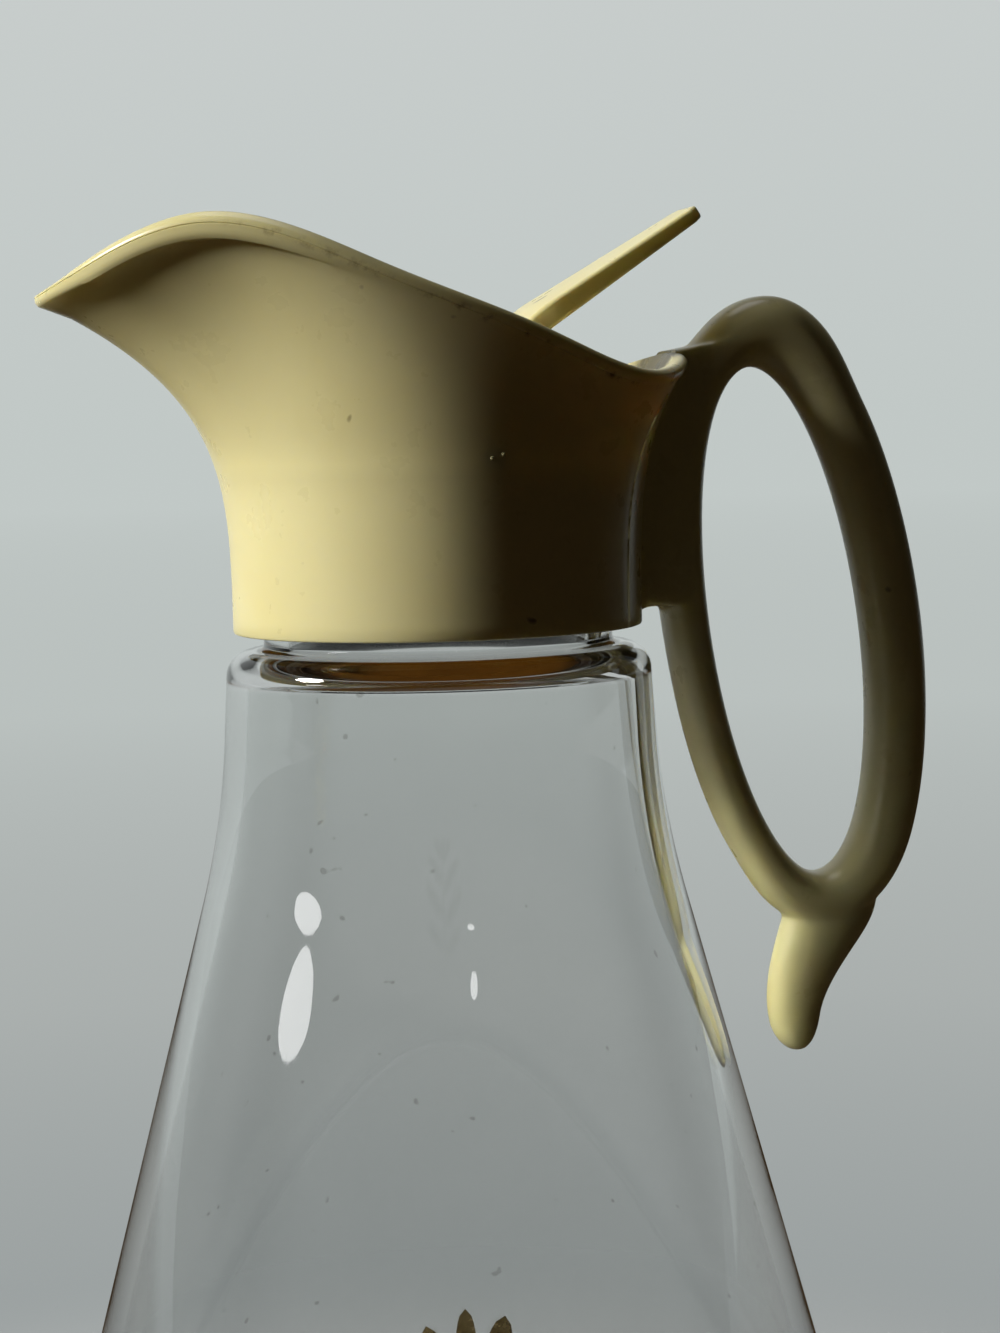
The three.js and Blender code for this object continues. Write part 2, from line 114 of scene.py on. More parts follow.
def startRing(name, points):
    clearSelection()
    bpy.ops.mesh.primitive_circle_add(vertices=points, radius=mm)
    piece = bpy.context.object
    piece.name = piece.data.name = name
    bpy.ops.object.mode_set(mode="EDIT")
    edit = bmesh.from_edit_mesh(piece.data)
    around = edit.verts.layers.float.new("around")  # each point's place round the ring, 0 to 1
    for v in edit.verts:
        v[around] = v.index / points
    bmesh.update_edit_mesh(piece.data)
    return piece


def placeRing(piece, place):
    edit = bmesh.from_edit_mesh(piece.data)
    around = edit.verts.layers.float["around"]
    ring = [v for v in edit.verts if v.select]
    spots = place(np.array([v[around] for v in ring]))
    for v, (x, y, z) in zip(ring, spots):
        v.co = (x * mm, y * mm, (z + collarFoot) * mm)
    bmesh.update_edit_mesh(piece.data)


def fillFirstRing(piece, points):
    bpy.ops.mesh.select_all(action="DESELECT")
    edit = bmesh.from_edit_mesh(piece.data)
    edit.verts.ensure_lookup_table()
    for i in range(points):
        edit.verts[i].select = True
    edit.select_flush(True)
    bmesh.update_edit_mesh(piece.data)
    bpy.ops.mesh.edge_face_add()


def loft(name, points, places):
    # one ring extruded through all the places, closed at both ends
    piece = startRing(name, points)
    placeRing(piece, places[0])
    for place in places[1:]:
        bpy.ops.mesh.extrude_edges_move()
        placeRing(piece, place)
    bpy.ops.mesh.edge_face_add()
    fillFirstRing(piece, points)
    faceOutwards()
    piece.data.attributes.remove(piece.data.attributes["around"])
    return piece


def smoothShade(piece, degrees):
    pick(piece)
    bpy.ops.object.shade_smooth_by_angle(angle=math.radians(degrees))


def finishPiece(piece, material, body, node=None):
    piece.data.materials.clear()
    piece.data.materials.append(material)
    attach(piece, body)
    if node:
        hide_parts(node)
    print(piece.name, "done,", len(piece.data.vertices), "points")
    return piece


def smoothStep(low, high, value):
    t = np.clip((np.asarray(value, float) - low) / (high - low), 0, 1)
    return t * t * (3 - 2 * t)


def gapTo(spots):
    # measures how far a mesh point is from the nearest spot
    tree = kdtree.KDTree(len(spots))
    for i, (x, y, z) in enumerate(spots):
        tree.insert((x, y, z + collarFoot), i)
    tree.balance()
    return lambda point: tree.find(point.co / mm)[2]


def columns(*parts):
    return np.stack(np.broadcast_arrays(*parts), axis=-1)


def unit(vectors):
    return vectors / np.linalg.norm(vectors, axis=-1, keepdims=True)


def closedCurve(stations):
    # smooth closed curve through stations, whose first three columns are their places
    spots = np.array(stations, float)
    count = len(spots)
    ahead = np.roll(spots, -1, axis=0)
    run = np.linalg.norm((ahead - spots)[:, :3], axis=1) ** 0.5
    back = np.roll(run, 1)
    slope = (ahead - spots) / run[:, None]
    system = np.diag(2 * (run + back))
    for i in range(count):
        system[i, (i + 1) % count] += run[i]
        system[i, i - 1] += back[i]
    bend = np.linalg.solve(system, 6 * (slope - np.roll(slope, 1, axis=0)))
    starts = np.concatenate([[0], np.cumsum(run)])

    def at(around):
        reach = (np.asarray(around, float) % 1) * starts[-1]
        i = np.clip(np.searchsorted(starts, reach, side="right") - 1, 0, count - 1)
        j = (i + 1) % count
        length = run[i][:, None]
        b = (reach - starts[i])[:, None] / length
        a = 1 - b
        curl = (a**3 - a) * bend[i] + (b**3 - b) * bend[j]
        return a * spots[i] + b * spots[j] + curl * length**2 / 6

    return at


def arc(centreX, centreZ, radius, first, last, steps):
    turns = np.linspace(first, last, steps + 1)
    return [(centreX + radius * math.cos(t), centreZ + radius * math.sin(t)) for t in turns]


def bezier(points, steps):
    # points of a curve with 3 or 4 control points, its first point left out
    made = []
    for t in np.linspace(0, 1, steps + 1)[1:]:
        row = [np.array(p, float) for p in points]
        while len(row) > 1:
            row = [a * (1 - t) + b * t for a, b in zip(row, row[1:])]
        made.append(tuple(row[0]))
    return made


def crossPlace(radius, y):
    # ring about the hinge axis
    def place(around):
        turn = around * 2 * math.pi
        return columns(hingeX + radius * np.cos(turn), y, hingeZ + radius * np.sin(turn))
    return place


def rod(name, points, ends):
    # along the hinge axis; ends gives radius and half length, from the tips inwards
    rings = [(radius, -y) for radius, y in ends] + [(radius, y) for radius, y in reversed(ends)]
    return loft(name, points, [crossPlace(radius, y) for radius, y in rings])


# materials

def newMaterial(name):
    made = bpy.data.materials.new(name)
    made.use_nodes = True
    tree = made.node_tree
    place = addNode(tree, "TexCoord").outputs["Object"]
    return made, tree, tree.nodes["Principled BSDF"], place


def put(tree, socket, value):
    # a value, or the socket that it comes from
    if isinstance(value, bpy.types.NodeSocket):
        tree.links.new(value, socket)
    else:
        socket.default_value = (*value, 1) if socket.type == "RGBA" else value


def feed(tree, node, **values):
    # inputs by name, with _ for a space
    for name, value in values.items():
        put(tree, node.inputs[name.replace("_", " ")], value)


def addNode(tree, kind, **values):
    made = tree.nodes.new("ShaderNode" + kind)
    feed(tree, made, **values)
    return made


def split(tree, place):
    return addNode(tree, "SeparateXYZ", Vector=place).outputs


def noise(tree, place, scale, detail=2.0, rough=0.5):
    made = addNode(tree, "TexNoise", Vector=place, Scale=scale, Detail=detail, Roughness=rough)
    return made.outputs["Fac"]


def ramp(tree, factor, *stops):
    made = addNode(tree, "ValToRGB", Fac=factor)
    band = made.color_ramp
    while len(band.elements) < len(stops):
        band.elements.new(0.5)
    for element, (place, shade) in zip(band.elements, stops):
        element.position = place
        element.color = (*shade, 1)
    return made.outputs["Color"]


def greyRamp(tree, factor, *stops):
    return ramp(tree, factor, *[(place, (level,) * 3) for place, level in stops])


def mixColour(tree, factor, first, second, way="MIX"):
    made = tree.nodes.new("ShaderNodeMix")
    made.data_type = "RGBA"
    made.blend_type = way
    for i, value in ((0, factor), (6, first), (7, second)):
        put(tree, made.inputs[i], value)
    return made.outputs[2]


def mixShaders(tree, factor, first, second, last=False):
    made = tree.nodes.new("ShaderNodeMixShader")
    for socket, value in zip(made.inputs, (factor, first.outputs[0], second.outputs[0])):
        put(tree, socket, value)
    if last:
        tree.links.new(made.outputs[0], tree.nodes["Material Output"].inputs["Surface"])
    return made


def sums(tree, way, first, second=0.0):
    made = tree.nodes.new("ShaderNodeMath")
    made.operation = way
    for socket, value in zip(made.inputs, (first, second)):
        put(tree, socket, value)
    return made.outputs[0]


def softStep(tree, value, first, last, low=0.0, high=1.0):
    made = addNode(tree, "MapRange", Value=value, From_Min=first, From_Max=last, To_Min=low, To_Max=high)
    made.interpolation_type = "SMOOTHSTEP"
    return made.outputs["Result"]


def bump(tree, shader, height, strength, depth):
    made = addNode(tree, "Bump", Height=height, Strength=strength, Distance=depth)
    feed(tree, shader, Normal=made.outputs["Normal"])


plasticLook = {
    "butter": (0.80, 0.72, 0.36), "yellowed": (0.77, 0.675, 0.30), "pale": (0.82, 0.75, 0.40),
    "grime": (0.23, 0.16, 0.05), "speck": (0.16, 0.10, 0.03),
    # in metres: how far light spreads inside, unevenness of the moulded surface, run of the deck's painted
    # shade
    "spread": 0.003, "peel": 0.000003, "paintedDeckShade": (-0.004, 0.007),
    # painted glow of the mould's line, an emission and no lamp: where it starts along X and how it fades
    # across, in metres
    "paintedLineGlow": 0.055, "paintedLineTone": (1.0, 0.98, 0.62),
    "lineStart": (0.0196, 0.0203), "lineFade": (0.00004, 0.0002),
}


def butterPlastic(name, onHead=False):
    look = plasticLook
    made, tree, shader, place = newMaterial(name)
    clouds = noise(tree, place, 38, 3)
    tone = ramp(tree, clouds, (0.32, look["yellowed"]), (0.5, look["butter"]), (0.7, look["pale"]))
    tone = mixColour(tree, 0.55, look["butter"], tone)
    freckles = noise(tree, place, 330, 1, 0.3)
    tone = mixColour(tree, greyRamp(tree, freckles, (0.79, 0), (0.83, 0.8)), tone, look["speck"])
    relief = sums(tree, "MULTIPLY", noise(tree, place, 620, 2), look["peel"])
    if onHead:
        # painted light and shade: the wall's colour is made lighter where the deck and the jar's neck stand
        # behind it
        deckLine = (collarFoot + headSize["deckTop"]) * mm
        parts = split(tree, place)
        height = softStep(tree, parts["Z"], *[deckLine + run for run in look["paintedDeckShade"]])
        shade = greyRamp(tree, height, (0.0, 1.0), (0.35, 0.95), (0.6, 0.985), (1.0, 0.9))
        tone = mixColour(tree, 1.0, tone, shade, "MULTIPLY")
        wear = addNode(tree, "Attribute")
        wear.attribute_name = "rimWear"
        grime = greyRamp(tree, noise(tree, place, 420, 4, 0.65), (0.5, 0), (0.68, 0.85))
        dirt = sums(tree, "MULTIPLY", wear.outputs["Fac"], grime)
        tone = mixColour(tree, dirt, tone, look["grime"])
        # painted glow: the thin line that the mould left is given an emission, so it shows light in the
        # shade
        fromMiddle = sums(tree, "ABSOLUTE", parts["Y"])
        gap = sums(tree, "ABSOLUTE", sums(tree, "SUBTRACT", fromMiddle, mouldMark["lineY"] * mm))
        outside = softStep(tree, parts["X"], *look["lineStart"], 0.0, look["paintedLineGlow"])
        paintedGlow = sums(tree, "MULTIPLY", outside, softStep(tree, gap, *look["lineFade"], 1.0, 0.0))
        feed(tree, shader, Emission_Strength=paintedGlow, Emission_Color=look["paintedLineTone"])
    sheen = greyRamp(tree, noise(tree, place, 160, 4, 0.6), (0.3, 0.26), (0.7, 0.32))
    feed(tree, shader, Base_Color=tone, Roughness=sheen, Specular_IOR_Level=0.46,
         Subsurface_Weight=0.22, Subsurface_Radius=(1.0, 0.85, 0.42), Subsurface_Scale=look["spread"])
    bump(tree, shader, relief, 1.0, 1.0)
    return made


glassLook = {
    "tint": (0.85, 0.855, 0.85), "film": (0.80, 0.81, 0.805), "dust": (0.34, 0.33, 0.30), "bend": 1.5,
    "shade": (0.66, 0.67, 0.66),  # light that passes each surface
    # painted brown and painted glow on the neck under the collar, so that the glass shoulder shows a warm
    # brown band: its heights above the collar's edge and its sides
    "paintedNeck": (0.22, 0.10, 0.02), "paintedNeckGlow": [(0.030, 0.013, 0.0015), (0.062, 0.026, 0.0025)],
    "paintedNeckFoot": (0.3, 1.2), "paintedNeckSides": (11, 18),
}


def clearGlass():
    look = glassLook
    made, tree, shader, place = newMaterial("clearGlass")
    smear = noise(tree, place, 26, 3, 0.55)
    tone = mixColour(tree, greyRamp(tree, smear, (0.45, 0), (0.75, 0.6)), look["tint"], look["film"])
    specks = greyRamp(tree, noise(tree, place, 520, 1, 0.2), (0.80, 0), (0.84, 0.7))
    tone = mixColour(tree, specks, tone, look["dust"])
    haze = greyRamp(tree, noise(tree, place, 70, 5, 0.6), (0.35, 0.0), (0.8, 0.035))
    feed(tree, shader, Base_Color=tone, Roughness=haze, IOR=look["bend"], Transmission_Weight=1.0)
    waves = noise(tree, place, 34, 2, 0.4)
    bump(tree, shader, waves, 0.12, 0.0006)
    # painted glow and painted brown on the neck glass, an emission lit by no lamp
    low, high = look["paintedNeckGlow"]
    paintedGlow = ramp(tree, noise(tree, place, 60, 3), (0.35, low), (0.65, high))
    paintedNeck = addNode(tree, "BsdfPrincipled", Emission_Color=paintedGlow, Emission_Strength=1.0,
                      Base_Color=look["paintedNeck"], Roughness=0.45)
    parts = split(tree, place)
    paintedNeckRise = softStep(tree, parts["Z"], *[(collarFoot + z) * mm for z in look["paintedNeckFoot"]])
    near, far = look["paintedNeckSides"]
    sides = softStep(tree, sums(tree, "ABSOLUTE", parts["X"]), near * mm, far * mm, 1.0, 0.0)
    surface = mixShaders(tree, sums(tree, "MULTIPLY", paintedNeckRise, sides), shader, paintedNeck)
    passing = addNode(tree, "BsdfTransparent", Color=look["shade"])
    shadow = addNode(tree, "LightPath").outputs["Is Shadow Ray"]
    mixShaders(tree, shadow, surface, passing, last=True)
    return made


def sealRubber():
    made, tree, shader, place = newMaterial("sealRubber")
    grain = noise(tree, place, 900, 4, 0.6)
    tone = ramp(tree, grain, (0.3, (0.34, 0.19, 0.07)), (0.7, (0.44, 0.26, 0.10)))
    feed(tree, shader, Base_Color=tone, Roughness=greyRamp(tree, grain, (0.3, 0.68), (0.7, 0.86)))
    bump(tree, shader, grain, 0.25, 0.0002)
    return made


def pinSteel():
    made, tree, shader, place = newMaterial("pinSteel")
    drawn = addNode(tree, "Mapping", Vector=place, Scale=(1, 0.03, 1)).outputs["Vector"]
    lines = noise(tree, drawn, 4000, 3, 0.6)
    tone = ramp(tree, lines, (0.3, (0.46, 0.46, 0.45)), (0.7, (0.66, 0.66, 0.65)))
    sheen = greyRamp(tree, lines, (0.3, 0.22), (0.7, 0.4))
    feed(tree, shader, Base_Color=tone, Roughness=sheen, Metallic=1.0)
    bump(tree, shader, lines, 0.1, 0.0001)
    return made


# pouring head

headSize = {
    "collarRadius": 26, "wall": 2, "flarePower": 3.7, "deckTop": 19, "deckUnderside": 17,
    "footRound": 0.35, "pinHole": 1.2, "boreSkin": 0.02, "pourHole": 15, "pourHoleSetback": 4.2,
    "points": 288, "outsideRings": 40, "outsideSpacing": 0.9, "insideRings": 26, "insideSpacing": 1.15,
    "topSteps": (0.15, 0.32, 0.5, 0.68, 0.85), "crown": (0.12, 0.43),
    "filletTop": 1.0, "fillet": [(0.12, 0.5), (0.45, 0.12), (1, 0)],  # where the wall meets the deck
    # half of the rim from the spout's tip to the rear: X, Y, height, turn on the collar in degrees
    "rim": [(-48.2, 0, 42.6, 0), (-45, 9.4, 44.7, 19), (-31.1, 21, 50.2, 43), (-10.9, 26.9, 43.8, 77),
            (6.4, 27.1, 36.7, 106), (15.7, 25, 32.6, 122), (23.4, 20.8, 31, 142), (31.3, 0, 33.5, 180)],
    "edgeRun": 2.4, "spoutSpan": (2, 26),  # where the rim's own edge goes over into the spout's
    "cove": 3.5, "coveThickness": 0.35,  # run below the rim in which the wall thickens to the spout's edge
    # the edge gets lower at the spout's tip and leans back
    "tipSpan": (42, 48.2), "tipTaper": 0.4, "tipSetback": 0.7,
    "wearReach": (0.05, 0.9), "wearSpan": (-31, -24),
}
# the rim's edge, from the outside wall up to its top: how far out and how high, at the sides
# and at the spout
rimEdge = [((1.00, -1.60), (0.62, -2.30)), ((1.00, -1.25), (0.84, -2.00)), ((1.00, -1.00), (0.98, -1.65)),
           ((1.00, -0.84), (1.07, -1.25)), ((0.99, -0.70), (1.13, -0.60)), ((0.90, -0.64), (1.07, -0.52)),
           ((1.10, -0.57), (1.17, -0.44)), ((1.13, -0.42), (1.17, -0.25)), ((1.10, 0.20), (1.05, 0.05)),
           ((1.00, 0.55), (0.82, 0.32)), ((0.76, 0.80), (0.50, 0.50))]
partingStep = 5  # the fine groove of the mould's parting line


def rimStations():
    half = headSize["rim"]
    rest = [(x, -y, z, -turn) for x, y, z, turn in half[-2:0:-1]]
    made = []
    for x, y, z, turn in half + rest:
        angle = math.radians(turn)
        made.append((x, y, z, -math.cos(angle), math.sin(angle)))
    return made


rimCurve = closedCurve(rimStations())


def wallMiddle(around, rise):
    rim = rimCurve(around)
    foot = unit(rim[:, 3:5]) * (headSize["collarRadius"] - headSize["wall"] / 2)
    share = np.broadcast_to(np.clip(rise, 0, None) ** headSize["flarePower"], around.shape)[:, None]
    level = foot * (1 - share) + rim[:, :2] * share
    return columns(level[:, 0], level[:, 1], rim[:, 2] * rise)


def wallFrame(around, rise, step=1e-3):
    # middle of the wall's thickness, then the ways out, up and along
    along = wallMiddle(around + step, rise) - wallMiddle(around - step, rise)
    up = unit(wallMiddle(around, rise + step) - wallMiddle(around, rise - step))
    return wallMiddle(around, rise), unit(np.cross(up, along)), up, unit(along)


def wallRun(around, step=1e-3):
    # length of the wall for a full rise, as it is at the rim
    up = wallMiddle(around, 1.0 + step) - wallMiddle(around, 1.0 - step)
    return np.linalg.norm(up, axis=1) / (2 * step)


def spoutShare(spots):
    return smoothStep(*headSize["spoutSpan"], -spots[:, 0])


def collarPlace(radius, z):
    def place(around):
        level = unit(rimCurve(around)[:, 3:5]) * radius
        return columns(level[:, 0], level[:, 1], z)
    return place


def outsidePlace(step):
    size = headSize
    half = size["wall"] / 2

    def place(around):
        length = wallRun(around)
        low = size["footRound"] / rimCurve(around)[:, 2]
        high = 1 - size["edgeRun"] / length
        rise = low + (high - low) * (step / size["outsideRings"]) ** size["outsideSpacing"]
        middle, out = wallFrame(around, rise)[:2]
        swell = 1 - smoothStep(0, size["cove"], (1 - rise) * length - size["edgeRun"] / 2)
        thick = half + size["coveThickness"] * swell * spoutShare(middle)
        return middle + out * thick[:, None]
    return place


def rimFrame(around):
    middle, out, up, along = wallFrame(around, 1.0)
    level = unit(np.cross(along, (0, 0, -1.0)))
    share = spoutShare(middle)[:, None]
    sideways = unit(out * (1 - share) + level * share)
    upright = unit(up * (1 - share) + np.array((0, 0, 1.0)) * share)
    return middle, sideways, upright, share


def rimPlace(step):
    size = headSize
    plain, spout = (np.array(p) for p in rimEdge[step])
    topRise = rimEdge[-1][1][1]

    def place(around):
        middle, sideways, upright, share = rimFrame(around)
        reach = plain * (1 - share) + spout * share
        away, rise = reach[:, :1], reach[:, 1:]
        tip = smoothStep(*size["tipSpan"], -middle[:, :1])
        back = np.clip(rise / topRise, 0, 1) * size["tipSetback"] * tip
        rise = np.where(rise < 0, rise * (1 - size["tipTaper"] * tip), rise)
        return middle + sideways * (away - back) + upright * rise
    return place


def rimTopPlace(t):
    # over the top of the rim, from its outer edge to the inside wall
    edge = rimPlace(len(rimEdge) - 1)
    leaning, standing = headSize["crown"]

    def place(around):
        middle, out, up = wallFrame(around, 1.0)[:3]
        upright = rimFrame(around)[2]
        inside = middle - out * headSize["wall"] / 2
        steep = np.clip((up[:, 2:] - 0.45) / 0.5, 0, 1)  # how upright the wall stands
        bulge = (leaning + standing * steep) * math.sin(math.pi * t)
        return edge(around) * (1 - t) + inside * t + upright * bulge
    return place


def insidePlace(step):
    size = headSize
    foot = size["deckTop"] + size["filletTop"]

    def place(around):
        floor = foot / rimCurve(around)[:, 2]
        rise = 1 - (1 - floor) * (step / size["insideRings"]) ** size["insideSpacing"]
        middle, out = wallFrame(around, rise)[:2]
        spots = middle - out * size["wall"] / 2
        if step == size["insideRings"]:
            spots[:, 2] = foot
        return spots
    return place


def deckEdgePlace(inset, z):
    last = insidePlace(headSize["insideRings"])

    def place(around):
        spots = last(around)
        level = np.linalg.norm(spots[:, :2], axis=1, keepdims=True)
        spots[:, :2] *= (level - inset) / level
        spots[:, 2] = z
        return spots
    return place


def halfDisc(around, centreX, radius, edgeX):
    # disc on the spout's side of a straight edge
    arcShare = 0.8
    first = math.acos((edgeX - centreX) / radius)
    turn = first + np.clip(around / arcShare, 0, 1) * 2 * (math.pi - first)
    across = np.clip((around - arcShare) / (1 - arcShare), 0, 1)
    corner = radius * math.sin(first)
    x = np.where(around > arcShare, edgeX, centreX + radius * np.cos(turn))
    y = np.where(around > arcShare, corner * (2 * across - 1), radius * np.sin(turn))
    return x, y


def halfDiscPlace(centreX, radius, edgeX, z):
    return lambda around: columns(*halfDisc(around, centreX, radius, edgeX), z)


threadSize = {"pitch": 4.4, "width": 2.0, "bite": 0.5, "taper": 0.08, "stepsPerTurn": 72, "points": 14,
              # how far the ridge stands out, the height and lead it starts with, and its turns
              "onHead": (-1.2, 3.25, 0.22, 1.1), "onJar": (1.3, 5, 0, 1.25)}


def threadRidge(name, wallRadius, depth, start, lead, turns):
    size = threadSize
    side = math.copysign(1, depth)
    count = int(turns * size["stepsPerTurn"])
    face = 0.75  # share of each ring on the ridge's face, the rest is its foot in the wall

    def ridgePlace(i):
        turn = i / count * turns
        fade = min(1, turn / size["taper"], (turns - turn) / size["taper"])
        angle = (turn - lead) * 2 * math.pi
        middle = start + (turn - lead) * size["pitch"]

        def place(around):
            swing = np.clip(around / face, 0, 1) * math.pi
            back = np.clip((around - face) / (1 - face), 0, 1)
            height = np.where(around > face, 0.5 - back, -0.5 * np.cos(swing)) * size["width"]
            rise = np.where(around > face, 0, np.sin(swing) ** 0.7)
            reach = wallRadius - side * size["bite"] + rise * (depth * fade + side * size["bite"] * 0.6)
            return columns(reach * math.cos(angle), reach * math.sin(angle), middle + height)
        return place

    return loft(name, size["points"], [ridgePlace(i) for i in range(count + 1)])


# what the mould left on the wall: a raised line each side of the handle's root, and two nubs
mouldMark = {"lineY": 15.5, "lineRadius": 0.16, "lineRises": (0.03, 0.93), "lineSteps": 60,
             "nubs": [(1.5, -26.0, 21.6), (2.9, -25.95, 22.0)], "nubRadius": 0.34}


def makeMouldLine(side):
    mark = mouldMark
    around = np.linspace(0.5, 0.5 + side * 0.2, 200)
    path = []
    for rise in np.linspace(*mark["lineRises"], mark["lineSteps"]):
        middle, out, up, along = wallFrame(around, rise)
        spots = middle + out * headSize["wall"] / 2
        nearest = np.argmin(np.abs(np.abs(spots[:, 1]) - mark["lineY"]))
        path.append((spots[nearest], out[nearest], along[nearest]))

    def linePlace(i):
        spot, out, along = path[i]

        def place(around):
            turn = around * 2 * math.pi
            return spot + mark["lineRadius"] * (np.outer(np.cos(turn), out) + np.outer(np.sin(turn), along))
        return place

    return loft("mouldLine", 10, [linePlace(i) for i in range(len(path))])


def addMouldMarks(head):
    marks = [makeMouldLine(side) for side in (1, -1)]
    for x, y, z in mouldMark["nubs"]:
        clearSelection()
        bpy.ops.mesh.primitive_uv_sphere_add(segments=16, ring_count=10, radius=mouldMark["nubRadius"] * mm)
        bpy.ops.transform.translate(value=Vector((x, y, z + collarFoot)) * mm)
        bpy.ops.object.transform_apply(location=True)
        marks.append(bpy.context.object)
    for mark in marks:
        joinOrCut(head, mark, "UNION")


def makeHead(material):
    size = headSize
    outer = size["collarRadius"]
    inner = outer - size["wall"]
    foot = size["footRound"]
    places = [collarPlace(inner, size["deckUnderside"]), collarPlace(inner, foot)]
    places += [collarPlace(inner + foot * 0.3, foot * 0.3), collarPlace(inner + foot, 0)]
    places += [collarPlace(outer - foot, 0), collarPlace(outer - foot * 0.3, foot * 0.3)]
    places += [outsidePlace(k) for k in range(size["outsideRings"] + 1)]
    places += [rimPlace(k) for k in range(len(rimEdge))]
    places += [rimTopPlace(t) for t in size["topSteps"]]
    places += [insidePlace(k) for k in range(size["insideRings"] + 1)]
    places += [deckEdgePlace(inset, size["deckTop"] + rise) for inset, rise in size["fillet"]]
    head = loft("pouringHead", size["points"], places)

    joinOrCut(head, threadRidge("headThread", inner, *threadSize["onHead"]), "UNION")
    holeX = hingeX - size["pourHoleSetback"]
    low, high = size["deckUnderside"] - 1, size["deckTop"] + 1
    hole = loft("pourHole", 80, [halfDiscPlace(holeX, size["pourHole"], holeX, z) for z in (low, high)])
    joinOrCut(head, hole, "DIFFERENCE")
    joinOrCut(head, rod("pinBore", 40, [(size["pinHole"], outer - size["boreSkin"])]), "DIFFERENCE")
    addMouldMarks(head)
    smoothShade(head, 32)
    markRimWear(head)
    return finishPiece(head, material, "head", "pouring_head")


def markRimWear(head):
    # grime gathers along the parting line under the rim
    around = np.linspace(0, 1, 900, endpoint=False)
    gapToLine = gapTo(rimPlace(partingStep)(around))
    wear = head.data.attributes.new("rimWear", "FLOAT", "POINT")
    for v, value in zip(head.data.vertices, wear.data):
        behindSpout = smoothStep(*headSize["wearSpan"], v.co.x / mm)
        value.value = float(behindSpout * (1 - smoothStep(*headSize["wearReach"], gapToLine(v))))


# glass jar

jarSize = {
    "wall": 2.8, "base": 6, "heel": 9, "innerHeel": 6, "coneAngle": 15.03, "shoulderAngle": 3.4,
    "shoulderRadius": 27.1, "shoulderDrop": 5.6, "shoulderRound": 3.4, "waistDrop": 24.2, "waistBlend": 10.7,
    "neckRadius": 22.2, "neckBore": 19.2, "neckTop": 15, "neckRound": 1, "innerShoulderDrop": 6.8,
    "standRing": 1.4, "hollow": 1.2,  # the base stands on a rim round a shallow hollow
    "coneFoot": 16, "innerConeFoot": 10, "steps": 192,
}


def jarRadius(z):
    # outside of the wall below the shoulder, without the blend at the waist
    size = jarSize
    waist = -size["waistDrop"]
    shoulderSlope = math.tan(math.radians(size["shoulderAngle"]))
    radius = size["shoulderRadius"] + (-size["shoulderDrop"] - max(z, waist)) * shoulderSlope
    if z < waist:
        radius += (waist - z) * math.tan(math.radians(size["coneAngle"]))
    return radius


def jarProfile():
    size = jarSize
    wall = size["wall"]
    waist = -size["waistDrop"]
    blendTop, blendLow = waist + size["waistBlend"], waist - size["waistBlend"]
    under = -collarFoot
    floor = under + size["base"]
    slope = math.tan(math.radians(size["coneAngle"]))
    lean = math.atan(slope)
    heelX = jarRadius(under + size["heel"]) - size["heel"] * math.hypot(1, slope)
    innerX = jarRadius(floor + size["innerHeel"]) - wall - size["innerHeel"] * math.hypot(1, slope)
    right = math.pi / 2
    shoulderTop = size["shoulderRound"] - size["shoulderDrop"]
    neck, bore, top, round_ = size["neckRadius"], size["neckBore"], size["neckTop"], size["neckRound"]
    innerTop = jarRadius(-size["innerShoulderDrop"]) - wall
    innerDrop = -size["innerShoulderDrop"]
    drop = shoulderTop + innerDrop
    ring, hollow = size["standRing"], size["hollow"]

    path = [(0, under + hollow), (heelX * 0.55, under + hollow)]
    path += bezier([path[-1], (heelX - 4 * ring, under + hollow), (heelX - 2 * ring, under)], 8)
    path += arc(heelX, under + size["heel"], size["heel"], -right, lean, 16)
    path += [(jarRadius(z), z) for z in np.linspace(under + size["coneFoot"], blendLow, 18)]
    path += bezier([path[-1], (jarRadius(waist), waist), (jarRadius(blendTop), blendTop)], 20)
    shoulderX = size["shoulderRadius"] - size["shoulderRound"]
    path += arc(shoulderX, -size["shoulderDrop"], size["shoulderRound"], 0, right, 16)
    path += [(neck + round_, shoulderTop)]
    path += bezier([path[-1], (neck, shoulderTop), (neck, shoulderTop + round_)], 6)
    path += [(neck, top - round_)]
    path += bezier([path[-1], (neck, top), (neck - round_, top)], 6)
    path += [(bore + round_ * 0.6, top)]
    path += bezier([path[-1], (bore, top), (bore, top - round_ * 0.6)], 6)
    path += [(bore, shoulderTop)]
    path += bezier([path[-1], (bore, drop * 0.6), (innerTop, drop * 0.4), (innerTop, innerDrop)], 22)
    path += [(jarRadius(blendTop) - wall, blendTop)]
    path += bezier([path[-1], (jarRadius(waist) - wall, waist), (jarRadius(blendLow) - wall, blendLow)], 20)
    coneFoot = floor + size["innerConeFoot"]
    path += [(jarRadius(z) - wall, z) for z in np.linspace(blendLow, coneFoot, 18)[1:]]
    path += arc(innerX, floor + size["innerHeel"], size["innerHeel"], lean, -right, 14)
    path += [(innerX * 0.5, floor), (0, floor)]
    return path


